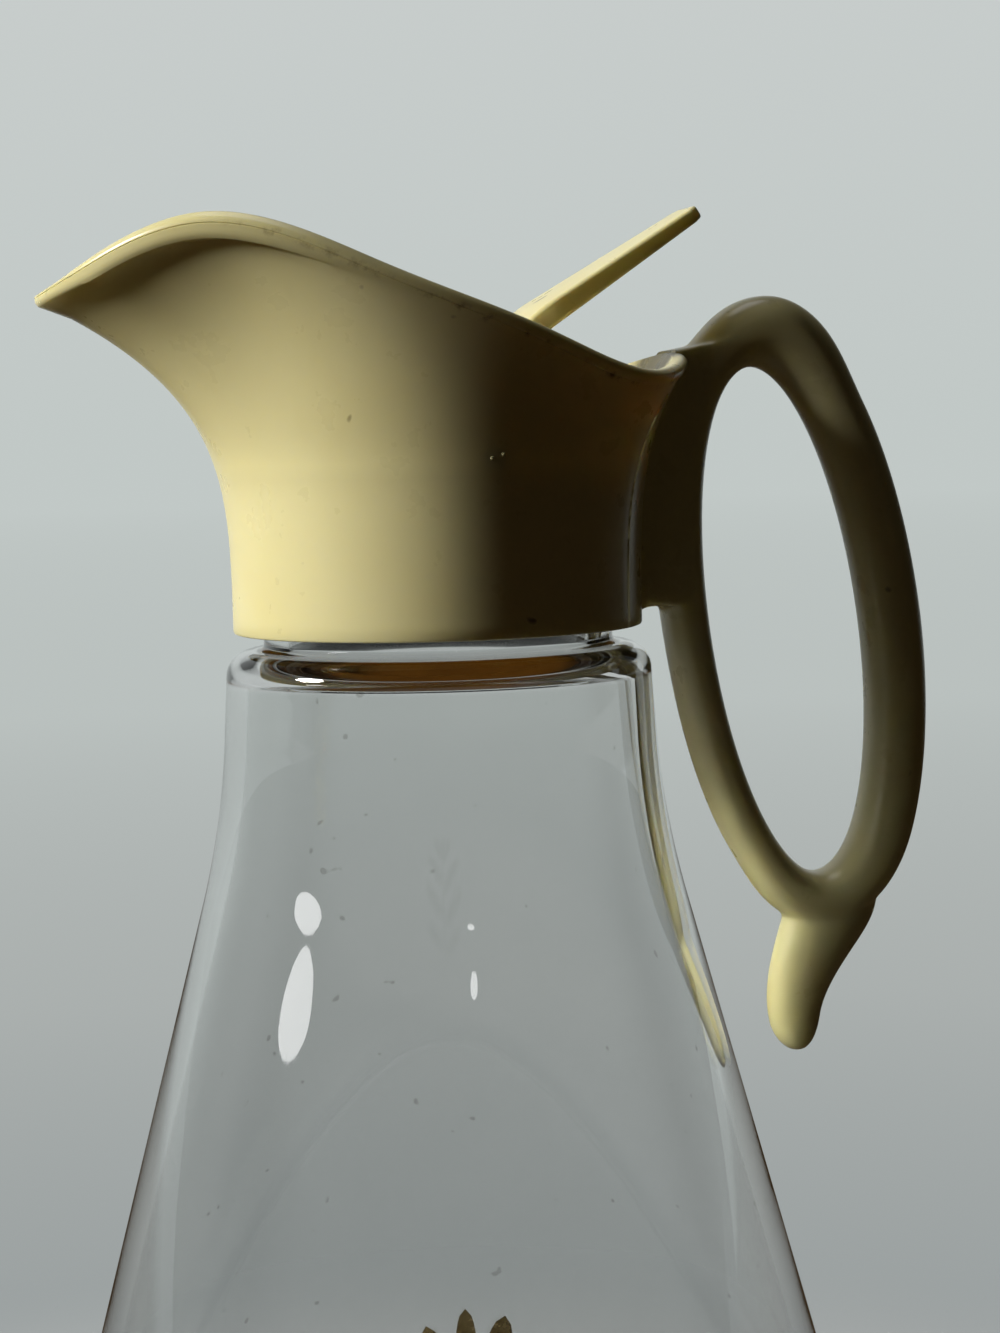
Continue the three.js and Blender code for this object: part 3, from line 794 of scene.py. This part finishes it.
def makeJar(material):
    clearSelection()
    bpy.ops.mesh.primitive_plane_add(size=mm)
    jar = bpy.context.object
    jar.name = jar.data.name = "glassJar"
    bpy.ops.object.mode_set(mode="EDIT")
    bpy.ops.mesh.merge(type="CENTER")
    path = jarProfile()
    spot = Vector((0, 0, 0))
    for i, (x, z) in enumerate(path):
        goal = Vector((x * mm, 0, (z + collarFoot) * mm))
        if i == 0:
            bpy.ops.transform.translate(value=goal - spot)
        else:
            bpy.ops.mesh.extrude_vertices_move(TRANSFORM_OT_translate={"value": goal - spot})
        spot = goal
    bpy.ops.mesh.select_all(action="SELECT")
    bpy.ops.mesh.spin(steps=jarSize["steps"], angle=2 * math.pi, center=(0, 0, 0), axis=(0, 0, 1))
    bpy.ops.mesh.select_all(action="SELECT")
    bpy.ops.mesh.remove_doubles(threshold=0.00001)
    faceOutwards()
    joinOrCut(jar, threadRidge("jarThread", jarSize["neckRadius"], *threadSize["onJar"]), "UNION")
    smoothShade(jar, 40)
    return finishPiece(jar, material, "jar", "glass_jar")


# leaf sprig printed on the jar's front

sprigSize = {"turn": -100.6, "lift": 0.02, "ink": 0.06, "stemFoot": 12, "stemTop": 46.6, "stemWidth": 0.9,
             "across": 6, "along": 18}
# each leaf: place of its foot beside the stem, height above the base, lean in degrees, length and width
sprigLeaves = [(0, 47, 0, 13.3, 2.6), (0.9, 45.6, 15, 14.2, 3.4), (-0.9, 44.8, -15, 14.2, 3.2),
               (0.9, 36.5, 38, 15, 3.8), (-0.9, 34, -40, 15, 3.8), (0.9, 26.5, 46, 15, 4.2),
               (-0.9, 24, -48, 15, 4.2), (0.9, 17, 54, 12, 3.8), (-0.9, 15, -56, 12, 3.8)]


def sprigInk():
    made, tree, shader, place = newMaterial("sprigInk")
    grain = noise(tree, place, 700, 3, 0.6)
    tone = ramp(tree, grain, (0.35, (0.20, 0.15, 0.06)), (0.65, (0.36, 0.28, 0.13)))
    feed(tree, shader, Base_Color=tone, Roughness=greyRamp(tree, grain, (0.3, 0.4), (0.7, 0.6)))
    tint = ramp(tree, grain, (0.3, (0.34, 0.28, 0.15)), (0.7, (0.58, 0.51, 0.36)))
    passing = addNode(tree, "BsdfTransparent", Color=tint)
    mixShaders(tree, 0.65, shader, passing, last=True)
    return made


def makeLeaf(side, foot, lean, length, width):
    size = sprigSize
    clearSelection()
    bpy.ops.mesh.primitive_grid_add(x_subdivisions=size["across"], y_subdivisions=size["along"], size=1)
    leaf = bpy.context.object
    c, s = math.cos(math.radians(lean)), math.sin(math.radians(lean))
    for v in leaf.data.vertices:
        along = v.co.y + 0.5
        half = width * math.sqrt(max(0.001, 1 - abs(2 * along - 1) ** 2.8))
        u = side + s * length * along + c * v.co.x * half
        height = foot + c * length * along - s * v.co.x * half
        radius = jarRadius(height - collarFoot) + size["lift"]
        turn = math.radians(size["turn"]) + u / radius
        v.co = Vector((radius * math.cos(turn), radius * math.sin(turn), height)) * mm
    return leaf


def makeSprig(material):
    size = sprigSize
    parts = [makeLeaf(*leaf) for leaf in sprigLeaves]
    parts.append(makeLeaf(0, size["stemFoot"], 0, size["stemTop"] - size["stemFoot"], size["stemWidth"]))
    sprig = joinParts("leafSprig", parts)
    finishWith(sprig, "SOLIDIFY", thickness=size["ink"] * mm, offset=1.0)
    smoothShade(sprig, 40)
    return finishPiece(sprig, material, "jar")


# handle

handleSize = {
    "holeX": 46.4, "holeZ": -1.1, "holeHalfWidth": 10.65, "holeHalfHeight": 33.6, "tilt": 7.8, "depth": 9.6,
    # width of the loop by its turn in degrees, from the outer arm over the crown
    "widths": [(0, 7.7), (46, 7.7), (80, 9.6), (104, 6.8), (190, 5.4), (232, 5.4), (266, 6.8),
               (305, 7.3), (360, 7.7)],
    "boxiness": 2.5, "loopSteps": 220, "sectionPoints": 40,
    "blockFoot": 1.8, "blockBevel": 1.4, "blockTurns": (176, 92),
    "tailTurn": 272, "tailLead": 3, "tailCurl": (-8.6, -12.6), "tailEnd": (-3.9, -20.4),
    "tailWidth": 13, "tailDepth": 8.4, "tailEndWidth": 5.4, "tailEndDepth": 6.2, "tailBoxiness": 2.2,
    "tailRounding": (0.82, 0.182, 2.4),  # share of the length where its end rounds, run and power
    "voxel": 0.36, "smoothing": 9,
    # the root runs out into a thin skin under the collar's surface and is smoothed into it
    "rootSkin": 0.12, "rootHalf": 13, "rootFoot": 0.6, "rootTop": 30.5,
    "rootReach": (2.2, 4.6), "rootSmoothing": 70,
}


def loopFrame(degrees):
    size = handleSize
    degrees = np.asarray(degrees, float)
    turn = np.radians(degrees)
    tilt = math.radians(size["tilt"])

    def inPlane(x, z):
        return columns(x * math.cos(tilt) - z * math.sin(tilt), x * math.sin(tilt) + z * math.cos(tilt))

    wide, tall = size["holeHalfWidth"], size["holeHalfHeight"]
    edge = inPlane(wide * np.cos(turn), tall * np.sin(turn)) + np.array((size["holeX"], size["holeZ"]))
    out = unit(inPlane(np.cos(turn) / wide, np.sin(turn) / tall))
    turns, widths = np.array(size["widths"]).T
    i = np.clip(np.searchsorted(turns, degrees, side="right") - 1, 0, len(turns) - 2)
    share = smoothStep(turns[i], turns[i + 1], degrees)
    width = widths[i] * (1 - share) + widths[i + 1] * share
    return edge + out * width[..., None] / 2, out, width


def ovalSection(angle, boxiness):
    # boxy oval of half sizes 1
    c, s = np.cos(angle), np.sin(angle)
    power = 2 / boxiness
    return np.sign(c) * np.abs(c) ** power, np.sign(s) * np.abs(s) ** power


def makeLoop():
    size = handleSize
    loop = startTorus("handleLoop", size["loopSteps"], size["sectionPoints"])
    spots = np.array([v.co for v in loop.data.vertices])
    turn = np.degrees(np.arctan2(spots[:, 1], spots[:, 0])) % 360
    section = np.arctan2(spots[:, 2], np.hypot(spots[:, 0], spots[:, 1]) - 1.0)
    middle, out, width = loopFrame(turn)
    reach, across = ovalSection(section, size["boxiness"])
    flat = middle + out * (reach * width / 2)[:, None]
    depth = across * size["depth"] / 2
    for v, (x, z), y in zip(loop.data.vertices, flat, depth):
        v.co = (x * mm, y * mm, (z + collarFoot) * mm)
    pick(loop)
    bpy.ops.object.mode_set(mode="EDIT")
    faceOutwards()
    return loop


def makeBlock():
    # from inside the collar's wall to the middle of the loop's upper inner arm
    size = handleSize
    first, last = size["blockTurns"]
    middle = loopFrame(np.arange(first, last - 1, -6.0))[0]
    inside = headSize["collarRadius"] / 2
    rearTop = headSize["rim"][-1][2] - headSize["wall"]
    outline = [(inside, size["blockFoot"])]
    outline += [(x, max(z, size["blockFoot"])) for x, z in middle]
    outline += [(inside, rearTop)]
    outline = np.array(outline)
    count = len(outline)
    half = size["depth"] / 2
    block = startRing("handleBlock", count)

    def place(around):
        spots = outline[np.rint(around * count).astype(int) % count]
        return columns(spots[:, 0], -half, spots[:, 1])

    placeRing(block, place)
    bpy.ops.mesh.edge_face_add()
    bpy.ops.mesh.extrude_region_move(TRANSFORM_OT_translate={"value": (0, 2 * half * mm, 0)})
    bpy.ops.mesh.select_all(action="SELECT")
    bpy.ops.mesh.normals_make_consistent(inside=False)
    bpy.ops.mesh.select_all(action="DESELECT")
    edit = bmesh.from_edit_mesh(block.data)
    for edge in edit.edges:  # the edges round both faces
        edge.select = abs(edge.verts[0].co.y - edge.verts[1].co.y) < 0.1 * mm
    bmesh.update_edit_mesh(block.data)
    bpy.ops.mesh.bevel(offset=size["blockBevel"] * mm, segments=4, affect="EDGES")
    bpy.ops.object.mode_set(mode="OBJECT")
    return block


def makeTail():
    size = handleSize
    middle, out = loopFrame([size["tailTurn"]])[:2]
    root, leave = middle[0], out[0]
    curve = [root, root + leave * size["tailLead"], root + size["tailCurl"], root + size["tailEnd"]]
    steps = 40
    path = np.array([curve[0], *bezier(curve, steps)])
    heading = unit(np.gradient(path, axis=0))
    start, run, power = size["tailRounding"]

    def tailPlace(i):
        along = i / steps
        rounding = math.sqrt(max(0.0004, 1 - max(0, (along - start) / run) ** power))
        width = (size["tailWidth"] + (size["tailEndWidth"] - size["tailWidth"]) * along) * rounding
        depth = (size["tailDepth"] + (size["tailEndDepth"] - size["tailDepth"]) * along) * rounding
        sideways = np.array((-heading[i][1], heading[i][0]))

        def place(around):
            reach, across = ovalSection(around * 2 * math.pi, size["tailBoxiness"])
            flat = path[i] + sideways * (reach * width / 2)[:, None]
            return columns(flat[:, 0], across * depth / 2, flat[:, 1])
        return place

    return loft("handleTail", 36, [tailPlace(i) for i in range(steps + 1)])


def headCore():
    # what the head's wall encloses, up to the middle of its thickness
    rises = np.linspace(0.02, 1, 30)
    low, high = -6, 80  # well below the collar and above the rim
    places = [collarPlace(headSize["collarRadius"] - headSize["wall"] / 2, low)]
    places += [(lambda around, rise=rise: wallMiddle(around, rise)) for rise in rises]

    def above(around):
        spots = wallMiddle(around, 1.0)
        spots[:, 2] = high
        return spots

    return loft("headCore", 160, places + [above])


def underSurface(around, rise):
    middle, out = wallFrame(around, rise)[:2]
    return middle + out * (headSize["wall"] / 2 - handleSize["rootSkin"])


def makeRootSkin():
    size = handleSize
    rises = np.linspace(0.01, 0.97, 30)
    skin = loft("rootSkin", 160, [(lambda around, rise=rise: underSurface(around, rise)) for rise in rises])
    near, far = headSize["collarRadius"] * 0.55, headSize["collarRadius"] * 2

    def corners(z):
        def place(around):
            corner = np.rint(around * 4).astype(int) % 4
            x = np.where((corner == 0) | (corner == 3), far, near)
            return columns(x, np.where(corner < 2, 1, -1) * size["rootHalf"], z)
        return place

    joinOrCut(skin, loft("rootBox", 4, [corners(size["rootFoot"]), corners(size["rootTop"])]), "INTERSECT")
    return skin


def markRoot(handle):
    # how strongly each point is smoothed into the collar
    around = np.linspace(0.3, 0.7, 160)
    wall = np.concatenate([underSurface(around, rise) for rise in np.linspace(0.03, 0.97, 26)])
    gapToWall = gapTo(wall)
    group = handle.vertex_groups.new(name="root")
    near, far = handleSize["rootReach"]
    for v in handle.data.vertices:
        weight = float(1 - smoothStep(near, far, gapToWall(v)))
        if weight > 0:
            group.add([v.index], weight, "REPLACE")


def makeHandle(material):
    handle = joinParts("loopHandle", [makeLoop(), makeBlock(), makeTail(), makeRootSkin()])
    finishWith(handle, "REMESH", mode="VOXEL", voxel_size=handleSize["voxel"] * mm)
    finishWith(handle, "SMOOTH", factor=0.5, iterations=handleSize["smoothing"])
    markRoot(handle)
    finishWith(handle, "SMOOTH", factor=0.5, iterations=handleSize["rootSmoothing"], vertex_group="root")
    handle.vertex_groups.clear()
    joinOrCut(handle, headCore(), "DIFFERENCE")
    smoothShade(handle, 40)
    return finishPiece(handle, material, "head", "handle")


# pouring lid

lidSize = {
    "gap": 0.3, "flapRadius": 22.6, "flapThickness": 3, "plugRadius": 14.2, "plugDepth": 1.6, "plugGap": 0.8,
    "hubRadius": 2.3, "hubLength": 36, "hubEdge": (0.6, 0.2), "bore": 1.2,
    "bend": (12.8, 18.1), "tip": (32.7, 30.5), "rootAngle": 68,
    "rootWidth": 14, "bendWidth": 16, "tipWidth": 8, "thickness": 2.9, "tipThickness": 1.9,
    "edgeRound": 0.6, "flapEdge": 0.5, "plugEdge": 0.3,
}


def plate(name, outline, low, high, edge):
    # flat plate with rounded edges; outline gives a ring's place for an inset and a height
    steps = [(edge, low), (edge * 0.3, low + edge * 0.3), (0, low + edge)]
    steps += [(0, high - edge), (edge * 0.3, high - edge * 0.3), (edge, high)]
    return loft(name, 120, [outline(inset, z) for inset, z in steps])


def leverPath():
    size = lidSize
    start = np.array((0.0, 0.0))
    bend, tip = np.array(size["bend"]), np.array(size["tip"])
    slope = (tip - bend)[1] / (tip - bend)[0]
    rootSlope = math.tan(math.radians(size["rootAngle"]))
    knee = (bend[1] - slope * bend[0]) / (rootSlope - slope)
    leg = [start, *bezier([start, (knee, knee * rootSlope), bend], 18)]
    top = [bend + (tip - bend) * t for t in np.linspace(0, 1, 25)[1:]]
    path = np.array(leg + top)
    widths = np.concatenate([np.linspace(size["rootWidth"], size["bendWidth"], len(leg)),
                             np.linspace(size["bendWidth"], size["tipWidth"], len(top) + 1)[1:]])
    thick = np.concatenate([np.full(len(leg), size["thickness"]),
                            np.linspace(size["thickness"], size["tipThickness"], len(top) + 1)[1:]])
    return path, widths, thick


def makeLever():
    path, widths, thick = leverPath()
    heading = unit(np.gradient(path, axis=0))

    def leverPlace(spot, direction, width, thickness, round_):
        over = np.array((-direction[1], direction[0]))

        def place(around):
            turn = around * 2 * math.pi + math.pi / 4
            c, s = np.cos(turn), np.sin(turn)
            y = np.sign(c) * (width / 2 - round_) + round_ * c
            t = np.sign(s) * (thickness / 2 - round_) + round_ * s
            flat = spot + over * t[:, None]
            return columns(hingeX + flat[:, 0], y, hingeZ + flat[:, 1])
        return place

    edge = lidSize["edgeRound"]
    places = [leverPlace(path[i], heading[i], widths[i], thick[i], edge) for i in range(len(path) - 1)]
    end, direction = path[-1], heading[-1]
    for back, inset in ((1.0, 0.0), (0.4, 0.2), (0.1, 0.5), (0.0, 0.9)):  # the tip's rounded corners
        spot = end - direction * back
        thin = thick[-1] - 0.5 * inset
        places.append(leverPlace(spot, direction, widths[-1] - 2 * inset, thin, min(edge, thin * 0.45)))
    return loft("lever", 44, places)


def makeLid(material):
    size = lidSize
    low = headSize["deckTop"] + size["gap"]
    holeX = hingeX - headSize["pourHoleSetback"]
    plugX = holeX - size["plugGap"]
    lid = plate("pourLid", lambda inset, z: halfDiscPlace(0, size["flapRadius"] - inset, hingeX, z),
                low, low + size["flapThickness"], size["flapEdge"])
    plug = plate("plug", lambda inset, z: halfDiscPlace(holeX, size["plugRadius"] - inset, plugX, z),
                 low - size["plugDepth"], low + size["flapThickness"] / 2, size["plugEdge"])
    joinOrCut(lid, plug, "UNION")
    radius, half = size["hubRadius"], size["hubLength"] / 2
    wide, fine = size["hubEdge"]
    hub = rod("hub", 48, [(radius - wide, half), (radius - fine, half - fine), (radius, half - wide)])
    joinOrCut(lid, hub, "UNION")
    joinOrCut(lid, makeLever(), "UNION")
    joinOrCut(lid, rod("lidBore", 32, [(size["bore"], 2 * half)]), "DIFFERENCE")
    smoothShade(lid, 32)
    return finishPiece(lid, material, "lid", "pour_lid")


# hinge pin and sealing ring

pinSize = {"radius": 0.9, "round": 0.3}


def makePin(material):
    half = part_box("hinge_pin")[1].y / mm
    radius, edge = pinSize["radius"], pinSize["round"]
    ends = [(radius * 0.55, half), (radius - edge * 0.3, half - edge * 0.3), (radius, half - edge)]
    pin = rod("hingePin", 40, ends)
    smoothShade(pin, 40)
    return finishPiece(pin, material, "head", "hinge_pin")


ringSize = {"inner": 19.2, "edge": 0.35, "steps": 160, "sectionPoints": 24}


def makeSeal(material):
    size = ringSize
    low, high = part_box("sealing_ring")
    outer = high.x / mm
    wide, tall = (outer - size["inner"]) / 2, (high.z - low.z) / mm / 2
    ring = startTorus("sealingRing", size["steps"], size["sectionPoints"])
    middle = outer - wide
    height = (low.z + high.z) / 2 / mm
    for v in ring.data.vertices:
        turn = math.atan2(v.co.y, v.co.x)
        section = math.atan2(v.co.z, math.hypot(v.co.x, v.co.y) - 1.0)
        c, s = math.cos(section), math.sin(section)
        reach = middle + math.copysign(wide - size["edge"], c) + size["edge"] * c
        rise = math.copysign(tall - size["edge"], s) + size["edge"] * s
        v.co = (reach * math.cos(turn) * mm, reach * math.sin(turn) * mm, (height + rise) * mm)
    pick(ring)
    bpy.ops.object.mode_set(mode="EDIT")
    faceOutwards()
    smoothShade(ring, 40)
    return finishPiece(ring, material, "seal", "sealing_ring")


# the head's copy adds the deck's painted shade, the mould line's painted glow and grime along the rim
headPlastic = butterPlastic("butterPlastic", onHead=True)
plainPlastic = butterPlastic("butterPlasticPlain")
makeHead(headPlastic)
makeHandle(plainPlastic)
makeJar(clearGlass())
makeSprig(sprigInk())
makeLid(plainPlastic)
makePin(pinSteel())
makeSeal(sealRubber())


# floor, backdrop and light

stageLook = {
    "floorRadius": 8.0, "floorTone": (0.66, 0.68, 0.68), "fadeStart": 0.07, "fadeEnd": 0.19,
    # what the camera sees of the floor by its distance from the pitcher, in metres: painted shade, darker
    # near the pitcher and lighter far off
    "farTones": [(0.15, (0.325, 0.352, 0.352)), (0.45, (0.405, 0.432, 0.424)), (1.3, (0.49, 0.53, 0.517)),
                 (6.0, (0.535, 0.58, 0.567))],
    "horizon": (0.535, 0.58, 0.567), "sky": (0.585, 0.617, 0.61), "fill": (0.0088, 0.0080, 0.0056),
    # the dim room on the camera's side, its floor and what that floor throws back
    "room": (0.034, 0.032, 0.027), "roomFloor": (0.050, 0.030, 0.012), "floorShade": (0.024, 0.013, 0.005),
    # where that room gives way to the backdrop: to a ray through the glass, by the size of Y, and in a
    # reflection, by Y; the floor is all backdrop to the first kind
    "floorSpans": [(-0.45, -0.1), (0.55, 0.97)], "skySpans": [(-0.1, 0.45), (0.5, 0.97)],
    "keyTone": (1.0, 0.985, 0.955),
}
# lamps: azimuth and height in degrees, distance and size in metres, power in watts, place they aim at,
# and the roll of a slanted glint in degrees
lamps = {
    "keyLamp": (-179.5, 24, 1.1, (0.34, 0.24), 16.4, (0, 0, 19)),
    "skyPanel": (90, 70, 1.2, (0.7, 0.7), 2.4, (0, 0, 19)),
    "windowGlint": (-171.1, 12.95, 1.1, (0.30, 0.053), 0.37, (-23, -23, -44), 10.4),
    "roomGlint": (-90.4, 18.6, 1.1, (0.06, 0.012), 0.016, (-4, -32, -40)),
}


def shownRays(tree, place, through, mirrored):
    # how much of the backdrop a ray shows, and how much of the room on the camera's side
    rays = addNode(tree, "LightPath").outputs
    depth = split(tree, place)["Y"]
    unlit = sums(tree, "LESS_THAN", rays["Diffuse Depth"], 0.5)  # the backdrop lights nothing
    passed = rays["Is Transmission Ray"]
    bounced = sums(tree, "MAXIMUM", 0.0, sums(tree, "SUBTRACT", rays["Is Glossy Ray"], passed))
    backdrop, room = rays["Is Camera Ray"], 0.0
    eitherWay = sums(tree, "ABSOLUTE", depth)
    for kind, way, (near, far) in ((passed, eitherWay, through), (bounced, depth, mirrored)):
        turned = sums(tree, "MULTIPLY", kind, unlit)
        seen = sums(tree, "MULTIPLY", turned, softStep(tree, way, near, far))
        backdrop = sums(tree, "MAXIMUM", backdrop, seen)
        room = sums(tree, "MAXIMUM", room, sums(tree, "SUBTRACT", turned, seen))
    return backdrop, room


def makeFloor():
    look = stageLook
    clearSelection()
    bpy.ops.mesh.primitive_circle_add(vertices=128, radius=look["floorRadius"], fill_type="NGON")
    floor = bpy.context.object
    floor.name = "floor"
    made, tree, shader, place = newMaterial("floorPaint")
    mottle = noise(tree, place, 14, 3)
    tone = look["floorTone"]
    paint = ramp(tree, mottle, (0.3, tuple(c * 0.97 for c in tone)), (0.7, tone))
    backdrop, room = shownRays(tree, place, *look["floorSpans"])
    # dark to the light that would bounce back up onto the pitcher
    paint = mixColour(tree, backdrop, look["floorShade"], paint)
    feed(tree, shader, Base_Color=paint, Roughness=0.85, Specular_IOR_Level=0.1)
    away = addNode(tree, "VectorMath", Vector=place)
    away.operation = "LENGTH"
    reach = away.outputs["Value"]
    span = look["farTones"][-1][0]
    stops = [(metres / span, shade) for metres, shade in look["farTones"]]
    # painted shade: the floor's emission is darker near the pitcher
    tone = mixColour(tree, room, ramp(tree, sums(tree, "DIVIDE", reach, span), *stops), look["roomFloor"])
    far = addNode(tree, "Emission", Color=tone)
    fade = softStep(tree, reach, look["fadeStart"], look["fadeEnd"])
    share = sums(tree, "MAXIMUM", room, sums(tree, "MULTIPLY", fade, backdrop))
    mixShaders(tree, share, shader, far, last=True)
    floor.data.materials.append(made)


def makeWorld():
    look = stageLook
    world = bpy.data.worlds.new("studio")
    bpy.context.scene.world = world
    world.use_nodes = True
    tree = world.node_tree
    tree.nodes.clear()
    place = addNode(tree, "TexCoord").outputs["Generated"]
    height = split(tree, place)["Z"]
    backdrop, room = shownRays(tree, place, *look["skySpans"])
    tone = mixColour(tree, room, look["fill"], look["room"])
    tone = mixColour(tree, backdrop, tone, ramp(tree, height, (0.0, look["horizon"]), (0.2, look["sky"])))
    light = addNode(tree, "Background", Color=tone)
    addNode(tree, "OutputWorld", Surface=light.outputs["Background"])


def makeLamp(name, tone=(1, 1, 1), lights=True):
    azimuth, elevation, distance, size, power, (x, y, z), *roll = lamps[name]
    clearSelection()
    a, e = math.radians(azimuth), math.radians(elevation)
    direction = Vector((math.cos(a) * math.cos(e), math.sin(a) * math.cos(e), math.sin(e)))
    aim = Vector((x, y, z + collarFoot)) * mm
    bpy.ops.object.light_add(type="AREA", location=aim + direction * distance)
    lamp = bpy.context.object
    lamp.name = name
    facing = direction.to_track_quat("Z", "Y")
    if roll:
        facing = facing @ Quaternion((0, 0, 1), math.radians(roll[0]))
    lamp.rotation_euler = facing.to_euler()
    lamp.data.shape = "ELLIPSE"
    lamp.data.size, lamp.data.size_y = size
    lamp.data.energy = power
    lamp.data.color = tone
    lamp.visible_camera = False
    lamp.visible_transmission = False
    lamp.visible_diffuse = lights  # the others show only as glints
    return lamp


# places in millimetres from the jar's underside
cameraView = {"eye": (-74.85, -352.13, 161.15), "aim": (7.592, -1.614, 130.77), "roll": -1.413, "lens": 76.4}


def makeCamera():
    view = cameraView
    eye, aim = Vector(view["eye"]) * mm, Vector(view["aim"]) * mm
    clearSelection()
    bpy.ops.object.camera_add(location=eye)
    camera = bpy.context.object
    camera.rotation_mode = "QUATERNION"
    roll = Quaternion((0, 0, 1), math.radians(view["roll"]))
    camera.rotation_quaternion = (aim - eye).to_track_quat("-Z", "Y") @ roll
    camera.data.lens = view["lens"]
    camera.data.sensor_width = 36
    camera.data.clip_start, camera.data.clip_end = 0.01, 60
    bpy.context.scene.camera = camera


makeFloor()
makeWorld()
makeLamp("keyLamp", tone=stageLook["keyTone"])
makeLamp("skyPanel")
for name in ("windowGlint", "roomGlint"):
    makeLamp(name, lights=False)
makeCamera()
bpy.context.scene.view_settings.view_transform = "Standard"
print("stage done")
